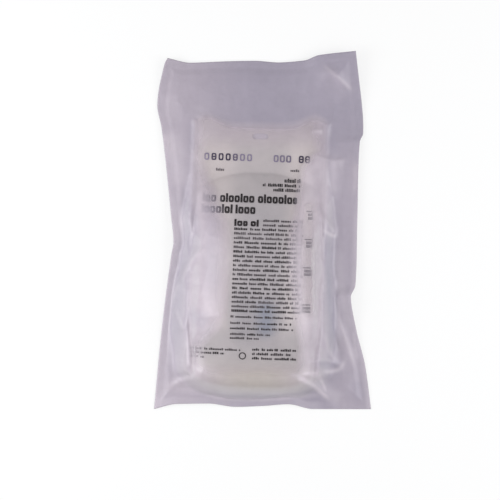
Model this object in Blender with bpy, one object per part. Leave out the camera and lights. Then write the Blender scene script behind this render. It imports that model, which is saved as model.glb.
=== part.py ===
"""A 250 millilitre infusion bag sealed in its frosted overwrap pouch, lying on its back.

The printed face looks up (+Z), the hanger end points to +Y, and the floor is Z = 0.
The origin is the middle of the pouch's footprint on the floor.
A size is written as millimetres times MM, so every value in the file is in metres.
"""

import math

import bpy
import numpy as np

MM = 0.001

# Clearances
CONTACT_GAP = 0.3 * MM
FILM_CLEARANCE = 0.5 * MM

# Overwrap pouch: two films, sealed to each other all round
FILM_THICKNESS = 0.15 * MM
POUCH_WIDTH = 169.2 * MM
POUCH_TOP_WIDTH = 145.9 * MM
POUCH_LENGTH = 278.3 * MM
POUCH_TOP_SHIFT = -0.75 * MM
POUCH_TOP_RISE = 5.1 * MM
SEAL_WIDTH = 5.0 * MM
AIR_GAP = 1.2 * MM
AIR_RUN = 16.0 * MM
SIDE_RUN = 18.0 * MM
TOP_RUN = 26.0 * MM
BOTTOM_RUN = 8.5 * MM
FRONT_RUN_FACTOR = 1.5
SIDE_SLOPE = 1.15
END_SLOPE = 2.0
FOOT_ROUNDING = 2.5 * MM
FOOT_RUN = 3.0 * MM

# Inner bag: two printed vinyl sheets, welded to each other all round
SHEET_THICKNESS = 0.4 * MM
BAG_WIDTH = 103.0 * MM
BAG_LENGTH = 212.5 * MM
BAG_CENTRE_X = -4.0 * MM
BAG_TOP_Y = 88.0 * MM
BAG_TURN = math.radians(-1.85)
WELD_WIDTH = 5.0 * MM
FLAP_LENGTH = 43.0 * MM
SHOULDER_DROP = 13.0 * MM
SHOULDER_POWER = 2.5
EAR_HEIGHT = 7.5 * MM
EAR_SPACING = 84.0 * MM
EAR_WIDTH = 12.0 * MM
HANGER_SLOT_LENGTH = 12.0 * MM
HANGER_SLOT_WIDTH = 4.5 * MM
HANGER_SLOT_DROP = 14.5 * MM
SLOT_CUTTER_REACH = 5.0 * MM
CROWN_HEIGHT = 34.0 * MM
CROWN_FALL = 10.0 * MM
CROWN_START = 0.48
CROWN_END = 0.66
DOME_POWER = 0.9
BULGE_POWER = 0.54
SEAM_HEIGHT = 9.5 * MM
SEAM_RISE_START = 34.4 * MM
SEAM_RISE_END = 83.0 * MM
LIFTED_SEAM_RISE = 4.5 * MM
LIFT_RUN = 27.0 * MM
LIFT_AHEAD = 3.0 * MM
NOSE_REACH = 12.5 * MM
NOSE_CORNER = 13.0 * MM
NOSE_NARROWING = 3.0 * MM
NOSE_NARROWING_START = 0.8
NOSE_SIDE_LOSS = 3.0 * MM
TAIL_LENGTH = 34.0 * MM
TAIL_NARROWING = 12.0 * MM
TAIL_SLACK = 0.5 * MM
FOLD_SLACK = 0.2 * MM
INNER_FOLD_REACH = 1.5 * MM

# Ports, on the tail that is folded up behind the bag
PORT_SPACING = 20.0 * MM
PORT_WALL = 1.1 * MM
OUTLET_RADIUS = 3.6 * MM
OUTLET_LENGTH = 20.0 * MM
OUTLET_RING_RADIUS = 4.6 * MM
OUTLET_RING_WIDTH = 1.4 * MM
OUTLET_RING_PLACE = 11.0 * MM
MEMBRANE_THICKNESS = 0.5 * MM
MEMBRANE_PLACE = 8.0 * MM
COVER_WALL = 0.9 * MM
COVER_LENGTH = 24.0 * MM
COVER_LIP_RADIUS = 5.4 * MM
COVER_LIP_WIDTH = 1.6 * MM
COVER_TIP_NARROWING = 0.9 * MM
COVER_TIP_ROUNDING = 1.0 * MM
INLET_RADIUS = 4.0 * MM
INLET_LENGTH = 14.0 * MM
SEPTUM_HEAD = 3.0 * MM
SEPTUM_PLUG = 4.0 * MM
BAND_WALL = 0.7 * MM
BAND_COVER = 4.0 * MM
PORT_SIDES = 20

# Mesh fineness
POUCH_COLUMNS = 26
POUCH_ROWS = 40
CHAMBER_COLUMNS = 10
FLAP_ROWS = 3
PILLOW_ROWS = 13
PILLOW_ROW_POWER = 1.25
NOSE_ROWS = 7
TAIL_ROWS = 3
DRAPE_COLUMNS = 57
DRAPE_FLAP_ROWS = 15
DRAPE_PILLOW_ROWS = 75
DRAPE_NOSE_ROWS = 9

# The pouch's edges: share of the edge's length, outward bow, and lift off the floor
LEFT_EDGE = (
    (0.000, 0.0, 5.0 * MM),
    (0.015, 2.2 * MM, 4.5 * MM),
    (0.130, 6.9 * MM, 0.8 * MM),
    (0.198, 1.7 * MM, 1.8 * MM),
    (0.446, -8.0 * MM, 4.2 * MM),
    (0.527, -10.1 * MM, 6.5 * MM),
    (0.560, -9.4 * MM, 4.5 * MM),
    (0.800, -4.3 * MM, 1.0 * MM),
    (1.000, 0.0, 0.0),
)
RIGHT_EDGE = (
    (0.000, 0.0, 10.0 * MM),
    (0.044, 1.0 * MM, 7.5 * MM),
    (0.193, 3.8 * MM, 1.2 * MM),
    (0.227, 3.4 * MM, 1.6 * MM),
    (0.252, 0.4 * MM, 3.2 * MM),
    (0.471, -4.3 * MM, 3.6 * MM),
    (0.653, -8.1 * MM, 4.6 * MM),
    (0.686, -12.2 * MM, 7.5 * MM),
    (0.777, -8.9 * MM, 2.8 * MM),
    (0.878, -3.1 * MM, 0.5 * MM),
    (1.000, 0.0, 0.0),
)
TOP_EDGE = (
    (0.000, 0.0, 5.0 * MM),
    (0.128, -4.0 * MM, 1.6 * MM),
    (0.315, -3.7 * MM, 0.6 * MM),
    (0.465, -4.1 * MM, 0.5 * MM),
    (0.604, -6.1 * MM, 1.0 * MM),
    (0.727, -5.4 * MM, 3.4 * MM),
    (0.807, -1.9 * MM, 6.5 * MM),
    (1.000, 0.0, 10.0 * MM),
)
BOTTOM_EDGE = (
    (0.000, 0.0, 0.0),
    (0.106, -4.2 * MM, 2.4 * MM),
    (0.249, -4.6 * MM, 3.0 * MM),
    (0.378, -1.8 * MM, 0.5 * MM),
    (0.498, -2.5 * MM, 1.0 * MM),
    (0.618, -4.0 * MM, 2.8 * MM),
    (0.733, -0.1 * MM, 0.2 * MM),
    (1.000, 0.0, 0.0),
)

# Folds of the front film: points as shares of the pouch's half width and half length,
# then the fold's half width and its height, which is below zero for a valley
FOLDS = (
    (((0.55, 0.92), (0.83, 0.79)), 5.0 * MM, 5.0 * MM),
    (((0.60, 0.85), (0.76, 0.76)), 4.0 * MM, -2.0 * MM),
    (((-0.88, 0.50), (-0.80, 0.40), (-0.77, 0.17)), 4.5 * MM, 3.0 * MM),
    (((-0.68, 0.14), (-0.74, -0.05)), 5.0 * MM, 5.0 * MM),
    (((-0.55, -0.10), (-0.70, -0.22), (-0.75, -0.36)), 5.0 * MM, 4.0 * MM),
    (((-0.79, -0.44), (-0.71, -0.58)), 4.5 * MM, 3.5 * MM),
    (((-0.94, -0.90), (-0.58, -0.81)), 5.0 * MM, 4.0 * MM),
    (((0.52, 0.43), (0.80, 0.39)), 5.0 * MM, 3.0 * MM),
    (((0.53, 0.10), (0.67, -0.04)), 5.0 * MM, 4.0 * MM),
    (((0.60, -0.36), (0.68, -0.58), (0.75, -0.76)), 4.5 * MM, -3.0 * MM),
    (((0.70, -0.30), (0.80, -0.58), (0.86, -0.80)), 4.5 * MM, 4.5 * MM),
    (((0.38, -0.74), (0.58, -0.71), (0.72, -0.77)), 4.5 * MM, 4.0 * MM),
    (((0.28, -0.80), (0.50, -0.87), (0.64, -0.95)), 4.5 * MM, 3.5 * MM),
)


# Curves and small helpers


def smooth_step(value, low, high):
    """0 below low, 1 above high, and an S curve between them."""
    share = np.clip((value - low) / (high - low), 0.0, 1.0)
    return share * share * (3.0 - 2.0 * share)


def curve_through(places, heights, at):
    """The smooth curve through the points, which never overshoots them, read at each place of at."""
    places = np.asarray(places, float)
    heights = np.asarray(heights, float)
    steps = np.diff(places)
    slopes = np.diff(heights) / steps
    tangents = np.zeros(len(places))
    product = slopes[:-1] * slopes[1:]
    both = np.where(product > 0.0, slopes[:-1] + slopes[1:], 1.0)
    tangents[1:-1] = np.where(product > 0.0, 2.0 * product / both, 0.0)
    tangents[0] = slopes[0]
    tangents[-1] = slopes[-1]
    cell = np.clip(np.searchsorted(places, at, side="right") - 1, 0, len(steps) - 1)
    part = (at - places[cell]) / steps[cell]
    rest = 1.0 - part
    start = heights[cell] * (1.0 + 2.0 * part) * rest**2
    start_bend = tangents[cell] * steps[cell] * part * rest**2
    end = heights[cell + 1] * (3.0 - 2.0 * part) * part**2
    end_bend = tangents[cell + 1] * steps[cell] * part**2 * rest
    return start + start_bend + end - end_bend


def distance_to_path(x, y, path):
    """The distance of each point to a path of straight runs."""
    nearest = np.full(np.shape(x), np.inf)
    for (x0, y0), (x1, y1) in zip(path[:-1], path[1:]):
        run_x = x1 - x0
        run_y = y1 - y0
        along = ((x - x0) * run_x + (y - y0) * run_y) / (run_x**2 + run_y**2)
        along = np.clip(along, 0.0, 1.0)
        gap = np.hypot(x - x0 - along * run_x, y - y0 - along * run_y)
        nearest = np.minimum(nearest, gap)
    return nearest


# Meshes


def make_material(name, color, roughness, alpha=1.0, transmission=0.0):
    """A Principled material with the piece's own colour and finish."""
    material = bpy.data.materials.new(name)
    material.use_nodes = True
    shader = material.node_tree.nodes["Principled BSDF"]
    shader.inputs["Base Color"].default_value = (*color, 1.0)
    shader.inputs["Roughness"].default_value = roughness
    shader.inputs["Metallic"].default_value = 0.0
    shader.inputs["Alpha"].default_value = alpha
    shader.inputs["Transmission Weight"].default_value = transmission
    return material


def add_object(name, points, faces, material):
    """One named object with one closed mesh."""
    mesh = bpy.data.meshes.new(name)
    mesh.from_pydata(np.asarray(points).tolist(), [], faces)
    mesh.materials.append(material)
    mesh.shade_smooth()
    mesh.set_sharp_from_angle(angle=math.radians(50.0))
    piece = bpy.data.objects.new(name, mesh)
    bpy.context.collection.objects.link(piece)
    return piece


def grid_triangles(numbers):
    """Two triangles for each cell of a grid of vertex numbers."""
    here = numbers[:-1, :-1].ravel()
    right = numbers[:-1, 1:].ravel()
    below = numbers[1:, :-1].ravel()
    across = numbers[1:, 1:].ravel()
    first = np.stack([here, below, across], axis=1)
    second = np.stack([here, across, right], axis=1)
    return np.concatenate([first, second])


def grid_border(numbers):
    """The grid's border vertices in order, once round."""
    parts = (numbers[:-1, 0], numbers[-1, :-1], numbers[:0:-1, -1], numbers[0, :0:-1])
    return np.concatenate(parts)


def ring_triangles(outer, inner):
    """A closed band of triangles between two loops of as many vertices."""
    outer_next = np.roll(outer, -1)
    inner_next = np.roll(inner, -1)
    first = np.stack([outer, outer_next, inner_next], axis=1)
    second = np.stack([outer, inner_next, inner], axis=1)
    return np.concatenate([first, second])


def grid_normals(points):
    """The unit normal at each point of a grid, from its neighbours along rows and columns."""
    down = np.gradient(points, axis=0)
    across = np.gradient(points, axis=1)
    normals = np.cross(down, across)
    return normals / np.linalg.norm(normals, axis=2, keepdims=True)


def add_shell(name, upper, lower, material):
    """A thin closed solid between two grids of points of the same shape, with a rim all round."""
    count = upper.shape[0] * upper.shape[1]
    top = np.arange(count).reshape(upper.shape[:2])
    bottom = top + count
    faces = np.concatenate(
        [
            grid_triangles(top),
            grid_triangles(bottom)[:, ::-1],
            ring_triangles(grid_border(bottom), grid_border(top)),
        ]
    )
    points = np.concatenate([upper.reshape(-1, 3), lower.reshape(-1, 3)])
    return add_object(name, points, faces.tolist(), material)


def add_lens(name, upper, lower, material):
    """A closed solid between two grids that share their border points."""
    count = upper.shape[0] * upper.shape[1]
    top = np.arange(count).reshape(upper.shape[:2])
    bottom = top.copy()
    inside = count + np.arange((top.shape[0] - 2) * (top.shape[1] - 2))
    bottom[1:-1, 1:-1] = inside.reshape(top.shape[0] - 2, top.shape[1] - 2)
    faces = np.concatenate([grid_triangles(top), grid_triangles(bottom)[:, ::-1]])
    points = np.concatenate([upper.reshape(-1, 3), lower[1:-1, 1:-1].reshape(-1, 3)])
    return add_object(name, points, faces.tolist(), material)


def add_turned(name, profile, material, place, turn):
    """A solid turned about its own Y axis: profile holds (radius, place along the axis), and it is
    a closed loop, or starts and ends on the axis."""
    points = []
    rings = []
    for radius, along in profile:
        first = len(points)
        if radius == 0.0:
            points.append((0.0, along, 0.0))
            rings.append(np.full(PORT_SIDES, first))
            continue
        for side in range(PORT_SIDES):
            angle = 2.0 * math.pi * side / PORT_SIDES
            points.append((radius * math.sin(angle), along, radius * math.cos(angle)))
        rings.append(first + np.arange(PORT_SIDES))
    if profile[0][0] > 0.0:
        rings.append(rings[0])
    bands = [ring_triangles(ring, following) for ring, following in zip(rings[:-1], rings[1:])]
    faces = np.concatenate(bands)
    corners = np.sort(faces, axis=1)
    faces = faces[(corners[:, 0] < corners[:, 1]) & (corners[:, 1] < corners[:, 2])]
    piece = add_object(name, points, faces.tolist(), material)
    piece.location = place
    piece.rotation_euler = (0.0, 0.0, turn)
    return piece


# Inner bag


def bag_to_world(across, down, height):
    """Places a point of the bag's own frame: across from its middle, down from its top edge."""
    up = BAG_TOP_Y - down
    x = BAG_CENTRE_X + across * math.cos(BAG_TURN) - up * math.sin(BAG_TURN)
    y = across * math.sin(BAG_TURN) + up * math.cos(BAG_TURN)
    return np.stack(np.broadcast_arrays(x, y, height), axis=-1)


def port_axis_height():
    """The ports lie on the back film, on the cover's lip, which is their widest part."""
    return FILM_THICKNESS + CONTACT_GAP + COVER_LIP_RADIUS


def lifted(down):
    """0 where the bag lies on the film, 1 where it lies on its own folded tail and ports."""
    tail_end = BAG_LENGTH - TAIL_LENGTH
    cover_end = tail_end - CONTACT_GAP - OUTLET_RING_PLACE - OUTLET_RING_WIDTH - COVER_LENGTH
    above = cover_end - LIFT_AHEAD
    return smooth_step(down, above - LIFT_RUN, above)


def seam_height(down):
    """The height of the middle of the side welds, along the bag."""
    stack = SHEET_THICKNESS + 0.5 * CONTACT_GAP
    lowest = FILM_THICKNESS + CONTACT_GAP + stack
    risen = smooth_step(down, SEAM_RISE_START, SEAM_RISE_END)
    raised = LIFTED_SEAM_RISE * lifted(down)
    return lowest + (SEAM_HEIGHT - lowest) * risen + raised


def bag_layers(inner_columns, flap, pillow, nose, tail):
    """The outer faces of the front and back sheets, as two grids of points.

    Across, inner_columns runs from -1 to 1 over the chamber, and one more column on each side
    ends the weld. Down, the rows follow the bag from its top edge over the pillow, round the
    folded nose and back underneath to the end of the tail: flap, pillow and tail hold shares
    from 0 to 1, and nose holds angles from 0 to half a turn.
    """
    share = np.concatenate([[-1.0], inner_columns, [1.0]])
    weld = np.zeros(len(share))
    weld[0] = -WELD_WIDTH
    weld[-1] = WELD_WIDTH
    half = 0.5 * BAG_WIDTH - WELD_WIDTH
    stack = SHEET_THICKNESS + 0.5 * CONTACT_GAP
    bulge = (1.0 - share**2) ** BULGE_POWER
    flat = 1.0 - share**4

    across = share * half + weld
    ear = np.exp(-(((np.abs(across) - 0.5 * EAR_SPACING) / EAR_WIDTH) ** 2))
    top = EAR_HEIGHT * (1.0 - ear)
    chamber = FLAP_LENGTH + SHOULDER_DROP * np.abs(share) ** SHOULDER_POWER
    nose_end = BAG_LENGTH - NOSE_CORNER * np.abs(across / (0.5 * BAG_WIDTH)) ** 4
    reach = NOSE_REACH - NOSE_SIDE_LOSS * share**2
    nose_start = nose_end - reach

    floor = FILM_THICKNESS + CONTACT_GAP
    tail_seam = port_axis_height()
    tail_top = 2.0 * tail_seam - floor - TAIL_SLACK
    over_tail = tail_seam + COVER_LIP_RADIUS + CONTACT_GAP + FOLD_SLACK
    front_rows = []
    back_rows = []

    def add_row(down, width, front_down, front_height, back_down, back_height):
        front_rows.append(bag_to_world(across * width, front_down, front_height))
        back_rows.append(bag_to_world(across * width, back_down, back_height))

    def pillow_heights(down, grown):
        seam = seam_height(down)
        crown = CROWN_HEIGHT - CROWN_FALL * smooth_step(grown, CROWN_END, 1.0)
        under = floor + (over_tail - floor) * lifted(down)
        risen = np.clip(grown / CROWN_START, 0.0, 1.0)
        dome = np.sin(0.5 * math.pi * risen) ** DOME_POWER
        belly = np.sin(0.5 * math.pi * np.clip(2.0 * grown / CROWN_START, 0.0, 1.0))
        front = seam + stack + (crown - seam - stack) * bulge * dome
        back = seam - stack - (seam - stack - under) * flat * belly
        return front, back

    for part in flap[:-1]:
        down = top + (chamber - top) * part
        seam = seam_height(down)
        add_row(down, 1.0, down, seam + stack, down, seam - stack)
    narrowest = 1.0 - NOSE_NARROWING / (0.5 * BAG_WIDTH)
    for part in pillow:
        down = chamber + (nose_start - chamber) * part
        front, back = pillow_heights(down, part)
        width = 1.0 - (1.0 - narrowest) * smooth_step(part, NOSE_NARROWING_START, 1.0)
        add_row(down, width, down, front, down, back)

    front_top, back_top = pillow_heights(nose_start, 1.0)
    front_low = tail_seam - stack - (tail_seam - stack - floor) * flat
    back_low = tail_seam + stack + (tail_top - tail_seam - stack) * flat
    edge = np.abs(share) ** 4
    back_reach = INNER_FOLD_REACH * (1.0 - edge) + (reach - 2.0 * stack) * edge
    for angle in nose[1:]:
        swing = math.sin(angle)
        fall = 0.5 - 0.5 * math.cos(angle)
        front = front_top + (front_low - front_top) * fall
        back = back_top + (back_low - back_top) * fall
        front_down = nose_start + reach * swing
        back_down = nose_start + back_reach * swing
        add_row(nose_start, narrowest, front_down, front, back_down, back)

    tail_end = BAG_LENGTH - TAIL_LENGTH
    tail_narrowest = narrowest - TAIL_NARROWING / (0.5 * BAG_WIDTH)
    for part in tail[1:]:
        down = nose_start + (tail_end + WELD_WIDTH - nose_start) * part
        thinned = np.sqrt(np.clip(1.0 - part**2, 0.0, 1.0))
        front = tail_seam - stack - (tail_seam - stack - floor) * flat * thinned
        back = tail_seam + stack + (tail_top - tail_seam - stack) * flat * thinned
        width = narrowest + (tail_narrowest - narrowest) * part
        add_row(down, width, down, front, down, back)
    end = np.full(len(share), tail_end)
    add_row(end, tail_narrowest, end, tail_seam - stack, end, tail_seam + stack)
    return np.array(front_rows), np.array(back_rows)


def chamber_columns(count):
    """Shares across the chamber from -1 to 1, closer together near the welds."""
    angles = np.linspace(-0.5 * math.pi, 0.5 * math.pi, count + 1)
    even = np.linspace(-1.0, 1.0, count + 1)
    return 0.5 * np.sin(angles) + 0.5 * even


def bag_grid():
    """The bag's layers at the fineness of its solids."""
    return bag_layers(
        chamber_columns(CHAMBER_COLUMNS),
        np.linspace(0.0, 1.0, FLAP_ROWS + 1),
        np.linspace(0.0, 1.0, PILLOW_ROWS + 1) ** PILLOW_ROW_POWER,
        np.linspace(0.0, math.pi, NOSE_ROWS + 1),
        np.linspace(0.0, 1.0, TAIL_ROWS + 1),
    )


def cut_hanger_slot(sheets):
    """Cuts the round-ended hanger slot through both sheets of the flap."""
    radius = 0.5 * HANGER_SLOT_WIDTH
    middle = 0.5 * HANGER_SLOT_LENGTH - radius
    angles = np.linspace(0.0, math.pi, 7)
    right = [(middle + radius * math.sin(a), radius * math.cos(a)) for a in angles]
    left = [(-middle - radius * math.sin(a), -radius * math.cos(a)) for a in angles]
    outline = np.array(right + left)
    count = len(outline)
    low = bag_to_world(outline[:, 0], HANGER_SLOT_DROP - outline[:, 1], -SLOT_CUTTER_REACH)
    high = bag_to_world(outline[:, 0], HANGER_SLOT_DROP - outline[:, 1], SLOT_CUTTER_REACH)
    faces = [list(range(count)), list(range(2 * count - 1, count - 1, -1))]
    for corner in range(count):
        following = (corner + 1) % count
        faces.append([following, corner, corner + count, following + count])
    mesh = bpy.data.meshes.new("hanger_slot_cutter")
    mesh.from_pydata(np.concatenate([low, high]).tolist(), [], faces)
    cutter = bpy.data.objects.new("hanger_slot_cutter", mesh)
    bpy.context.collection.objects.link(cutter)
    cutter.hide_render = True
    cutter.display_type = "WIRE"
    for sheet in sheets:
        cut = sheet.modifiers.new("hanger_slot", "BOOLEAN")
        cut.operation = "DIFFERENCE"
        cut.solver = "EXACT"
        cut.object = cutter


def make_bag():
    """The front and back sheets and the solution between them."""
    front, back = bag_grid()
    front_normals = grid_normals(front)
    back_normals = -grid_normals(back)
    front_inner = front - SHEET_THICKNESS * front_normals
    back_inner = back - SHEET_THICKNESS * back_normals
    vinyl = make_material("bag_front_vinyl", (0.74, 0.71, 0.69), 0.35, alpha=0.6)
    front_sheet = add_shell("bag_front_sheet", front, front_inner, vinyl)
    vinyl = make_material("bag_back_vinyl", (0.74, 0.71, 0.69), 0.35, alpha=0.6)
    back_sheet = add_shell("bag_back_sheet", back_inner, back, vinyl)
    cut_hanger_slot([front_sheet, back_sheet])

    inset = SHEET_THICKNESS + CONTACT_GAP
    rows = slice(FLAP_ROWS, -1)
    columns = slice(1, -1)
    upper = (front - inset * front_normals)[rows, columns]
    lower = (back - inset * back_normals)[rows, columns]
    middle = 0.5 * (upper + lower)
    for line in ((0, slice(None)), (-1, slice(None)), (slice(None), 0), (slice(None), -1)):
        upper[line] = middle[line]
        lower[line] = middle[line]
    water = make_material("saline", (0.93, 0.94, 0.94), 0.05, transmission=1.0)
    add_lens("saline_solution", upper, lower, water)


# Ports


def make_outlet():
    """The administration port: its tube with a stop ring, the membrane in it and the cover on it."""
    place = bag_to_world(
        0.5 * PORT_SPACING, BAG_LENGTH - TAIL_LENGTH - CONTACT_GAP, port_axis_height()
    )
    bore = OUTLET_RADIUS - PORT_WALL
    ring_end = OUTLET_RING_PLACE + OUTLET_RING_WIDTH
    tube = (
        (bore, 0.0),
        (OUTLET_RADIUS, 0.0),
        (OUTLET_RADIUS, OUTLET_RING_PLACE),
        (OUTLET_RING_RADIUS, OUTLET_RING_PLACE),
        (OUTLET_RING_RADIUS, ring_end),
        (OUTLET_RADIUS, ring_end),
        (OUTLET_RADIUS, OUTLET_LENGTH),
        (bore, OUTLET_LENGTH),
    )
    clear_vinyl = make_material("port_vinyl", (0.80, 0.79, 0.76), 0.3)
    add_turned("administration_port_tube", tube, clear_vinyl, place, BAG_TURN)

    radius = bore - CONTACT_GAP
    membrane = (
        (0.0, MEMBRANE_PLACE),
        (radius, MEMBRANE_PLACE),
        (radius, MEMBRANE_PLACE + MEMBRANE_THICKNESS),
        (0.0, MEMBRANE_PLACE + MEMBRANE_THICKNESS),
    )
    membrane_vinyl = make_material("membrane_vinyl", (0.78, 0.77, 0.74), 0.35)
    add_turned("administration_port_membrane", membrane, membrane_vinyl, place, BAG_TURN)

    start = ring_end + CONTACT_GAP
    end = start + COVER_LENGTH
    inside = OUTLET_RADIUS + CONTACT_GAP
    outside = inside + COVER_WALL
    cover = (
        (0.0, end - COVER_WALL),
        (inside - COVER_TIP_NARROWING, end - COVER_WALL),
        (inside, OUTLET_LENGTH + CONTACT_GAP),
        (inside, start),
        (COVER_LIP_RADIUS, start),
        (COVER_LIP_RADIUS, start + COVER_LIP_WIDTH),
        (outside, start + COVER_LIP_WIDTH),
        (outside - COVER_TIP_NARROWING, end - COVER_TIP_ROUNDING),
        (outside - COVER_TIP_NARROWING - COVER_TIP_ROUNDING, end),
        (0.0, end),
    )
    blue = make_material("cover_blue", (0.10, 0.27, 0.55), 0.4)
    add_turned("port_cover", cover, blue, place, BAG_TURN)


def make_inlet():
    """The injection port: its tube, the rubber septum that plugs it and the band round both."""
    place = bag_to_world(
        -0.5 * PORT_SPACING, BAG_LENGTH - TAIL_LENGTH - CONTACT_GAP, port_axis_height()
    )
    bore = INLET_RADIUS - PORT_WALL
    tube = ((bore, 0.0), (INLET_RADIUS, 0.0), (INLET_RADIUS, INLET_LENGTH), (bore, INLET_LENGTH))
    clear_vinyl = make_material("inlet_vinyl", (0.80, 0.79, 0.76), 0.3)
    add_turned("injection_port_tube", tube, clear_vinyl, place, BAG_TURN)

    plug = bore - CONTACT_GAP
    seat = INLET_LENGTH + CONTACT_GAP
    septum = (
        (0.0, INLET_LENGTH - SEPTUM_PLUG),
        (plug, INLET_LENGTH - SEPTUM_PLUG),
        (plug, seat),
        (INLET_RADIUS, seat),
        (INLET_RADIUS, seat + SEPTUM_HEAD),
        (0.0, seat + SEPTUM_HEAD),
    )
    rubber = make_material("septum_rubber", (0.80, 0.72, 0.58), 0.7)
    add_turned("injection_port_septum", septum, rubber, place, BAG_TURN)

    inside = INLET_RADIUS + CONTACT_GAP
    outside = inside + BAND_WALL
    low = INLET_LENGTH - BAND_COVER
    high = seat + SEPTUM_HEAD
    band = ((inside, low), (outside, low), (outside, high), (inside, high))
    band_film = make_material("band_film", (0.86, 0.85, 0.82), 0.3)
    add_turned("injection_port_band", band, band_film, place, BAG_TURN)


# Overwrap pouch


def edge_points(edge, start, end, outward, shares):
    """Points (x, y) and lifts of one edge: the line from start to end, bowed outward."""
    places, bows, lifts = (np.array(values, float) for values in zip(*edge))
    bow = curve_through(places, bows, shares)[:, None]
    lift = curve_through(places, lifts, shares)
    line = start + (end - start) * shares[:, None]
    return line + bow * np.array(outward), lift


def blended(top, bottom, left, right, across, down):
    """Fills the inside of four edges: across and down weigh each point's two pairs of edges."""
    to_left, to_right = across
    to_top, to_bottom = down
    edges = to_top * top + to_bottom * bottom + to_left * left + to_right * right
    corners = to_left * to_top * top[:, :1] + to_right * to_top * top[:, -1:]
    corners = corners + to_left * to_bottom * bottom[:, :1] + to_right * to_bottom * bottom[:, -1:]
    return edges - corners


def hold(distance, run):
    """1 in the seal, falling evenly to 0 at the end of the run."""
    return np.clip((run - distance) / (run - SEAL_WIDTH), 0.0, 1.0)


def pouch_lines():
    """Shares across and down at which the front film has its columns and rows."""
    seal_across = SEAL_WIDTH / POUCH_WIDTH
    seal_down = SEAL_WIDTH / POUCH_LENGTH
    across = np.linspace(seal_across, 1.0 - seal_across, POUCH_COLUMNS - 1)
    down = np.linspace(seal_down, 1.0 - seal_down, POUCH_ROWS - 1)
    across = np.concatenate([[0.0], across, [1.0]])
    down = np.concatenate([[0.0], down, [1.0]])
    return across, down


def pouch_edges(across, down):
    """The four edges' points and lifts at the given shares, shaped to broadcast over a grid."""
    half_top = 0.5 * POUCH_TOP_WIDTH
    half = 0.5 * POUCH_WIDTH
    high = 0.5 * POUCH_LENGTH
    top_left = np.array([POUCH_TOP_SHIFT - half_top, high - POUCH_TOP_RISE])
    top_right = np.array([POUCH_TOP_SHIFT + half_top, high])
    bottom_left = np.array([-half, -high])
    bottom_right = np.array([half, -high])
    top, top_lift = edge_points(TOP_EDGE, top_left, top_right, (0.0, 1.0), across)
    bottom, bottom_lift = edge_points(BOTTOM_EDGE, bottom_left, bottom_right, (0.0, -1.0), across)
    left, left_lift = edge_points(LEFT_EDGE, top_left, bottom_left, (-1.0, 0.0), down)
    right, right_lift = edge_points(RIGHT_EDGE, top_right, bottom_right, (1.0, 0.0), down)
    plan = (top[None, :, :], bottom[None, :, :], left[:, None, :], right[:, None, :])
    lifts = (top_lift[None, :], bottom_lift[None, :], left_lift[:, None], right_lift[:, None])
    return plan, lifts


def pouch_plan(across, down):
    """The plan of the film, (x, y) for every row and column, filled in between its edges."""
    plan, _ = pouch_edges(across, down)
    s = across[None, :, None]
    t = down[:, None, None]
    return blended(*plan, (1.0 - s, s), (1.0 - t, t))


def pouch_lift(across, down, run_factor):
    """The lift that the edges give the film, which dies out over each edge's run."""
    _, lifts = pouch_edges(across, down)
    s = across[None, :] * POUCH_WIDTH
    t = down[:, None] * POUCH_LENGTH
    side = SIDE_RUN * run_factor
    to_sides = (hold(s, side), hold(POUCH_WIDTH - s, side))
    to_ends = (hold(t, TOP_RUN * run_factor), hold(POUCH_LENGTH - t, BOTTOM_RUN * run_factor))
    return blended(*lifts, to_sides, to_ends)


def inside_seal(across, down, run):
    """0 in the seal all round, and 1 further in than the run."""
    s = across[None, :] * POUCH_WIDTH
    t = down[:, None] * POUCH_LENGTH
    nearest = np.minimum(np.minimum(s, POUCH_WIDTH - s), np.minimum(t, POUCH_LENGTH - t))
    return smooth_step(nearest, SEAL_WIDTH, SEAL_WIDTH + run)


def draped_height(x, y):
    """The height of film that hangs over the bag: from each point of the bag it falls away
    evenly, at one slope to the sides and a steeper one to the ends, and the highest counts."""
    front, _ = bag_layers(
        np.linspace(-1.0, 1.0, DRAPE_COLUMNS),
        np.linspace(0.0, 1.0, DRAPE_FLAP_ROWS),
        np.linspace(0.0, 1.0, DRAPE_PILLOW_ROWS),
        np.linspace(0.0, 0.5 * math.pi, DRAPE_NOSE_ROWS),
        np.array([0.0]),
    )
    bag = front[:-1].reshape(-1, 3)
    reach = 0.5 * max(POUCH_WIDTH / POUCH_COLUMNS, POUCH_LENGTH / POUCH_ROWS)
    height = np.empty(np.shape(x))
    for row in range(height.shape[0]):
        side = x[row][:, None] - bag[:, 0]
        end = y[row][:, None] - bag[:, 1]
        fall = np.hypot(side * SIDE_SLOPE, end * END_SLOPE)
        fall *= np.clip(1.0 - reach / np.maximum(np.hypot(side, end), reach), 0.0, 1.0)
        height[row] = (bag[:, 2] - fall).max(axis=1)
    return height + FILM_CLEARANCE


def fold_height(x, y):
    """The folds of the front film: each is a rounded ridge or valley along its own path."""
    total = np.zeros(np.shape(x))
    for path, half_width, height in FOLDS:
        places = [(0.5 * POUCH_WIDTH * px, 0.5 * POUCH_LENGTH * py) for px, py in path]
        total += height * np.exp(-((distance_to_path(x, y, places) / half_width) ** 2))
    return total


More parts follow.
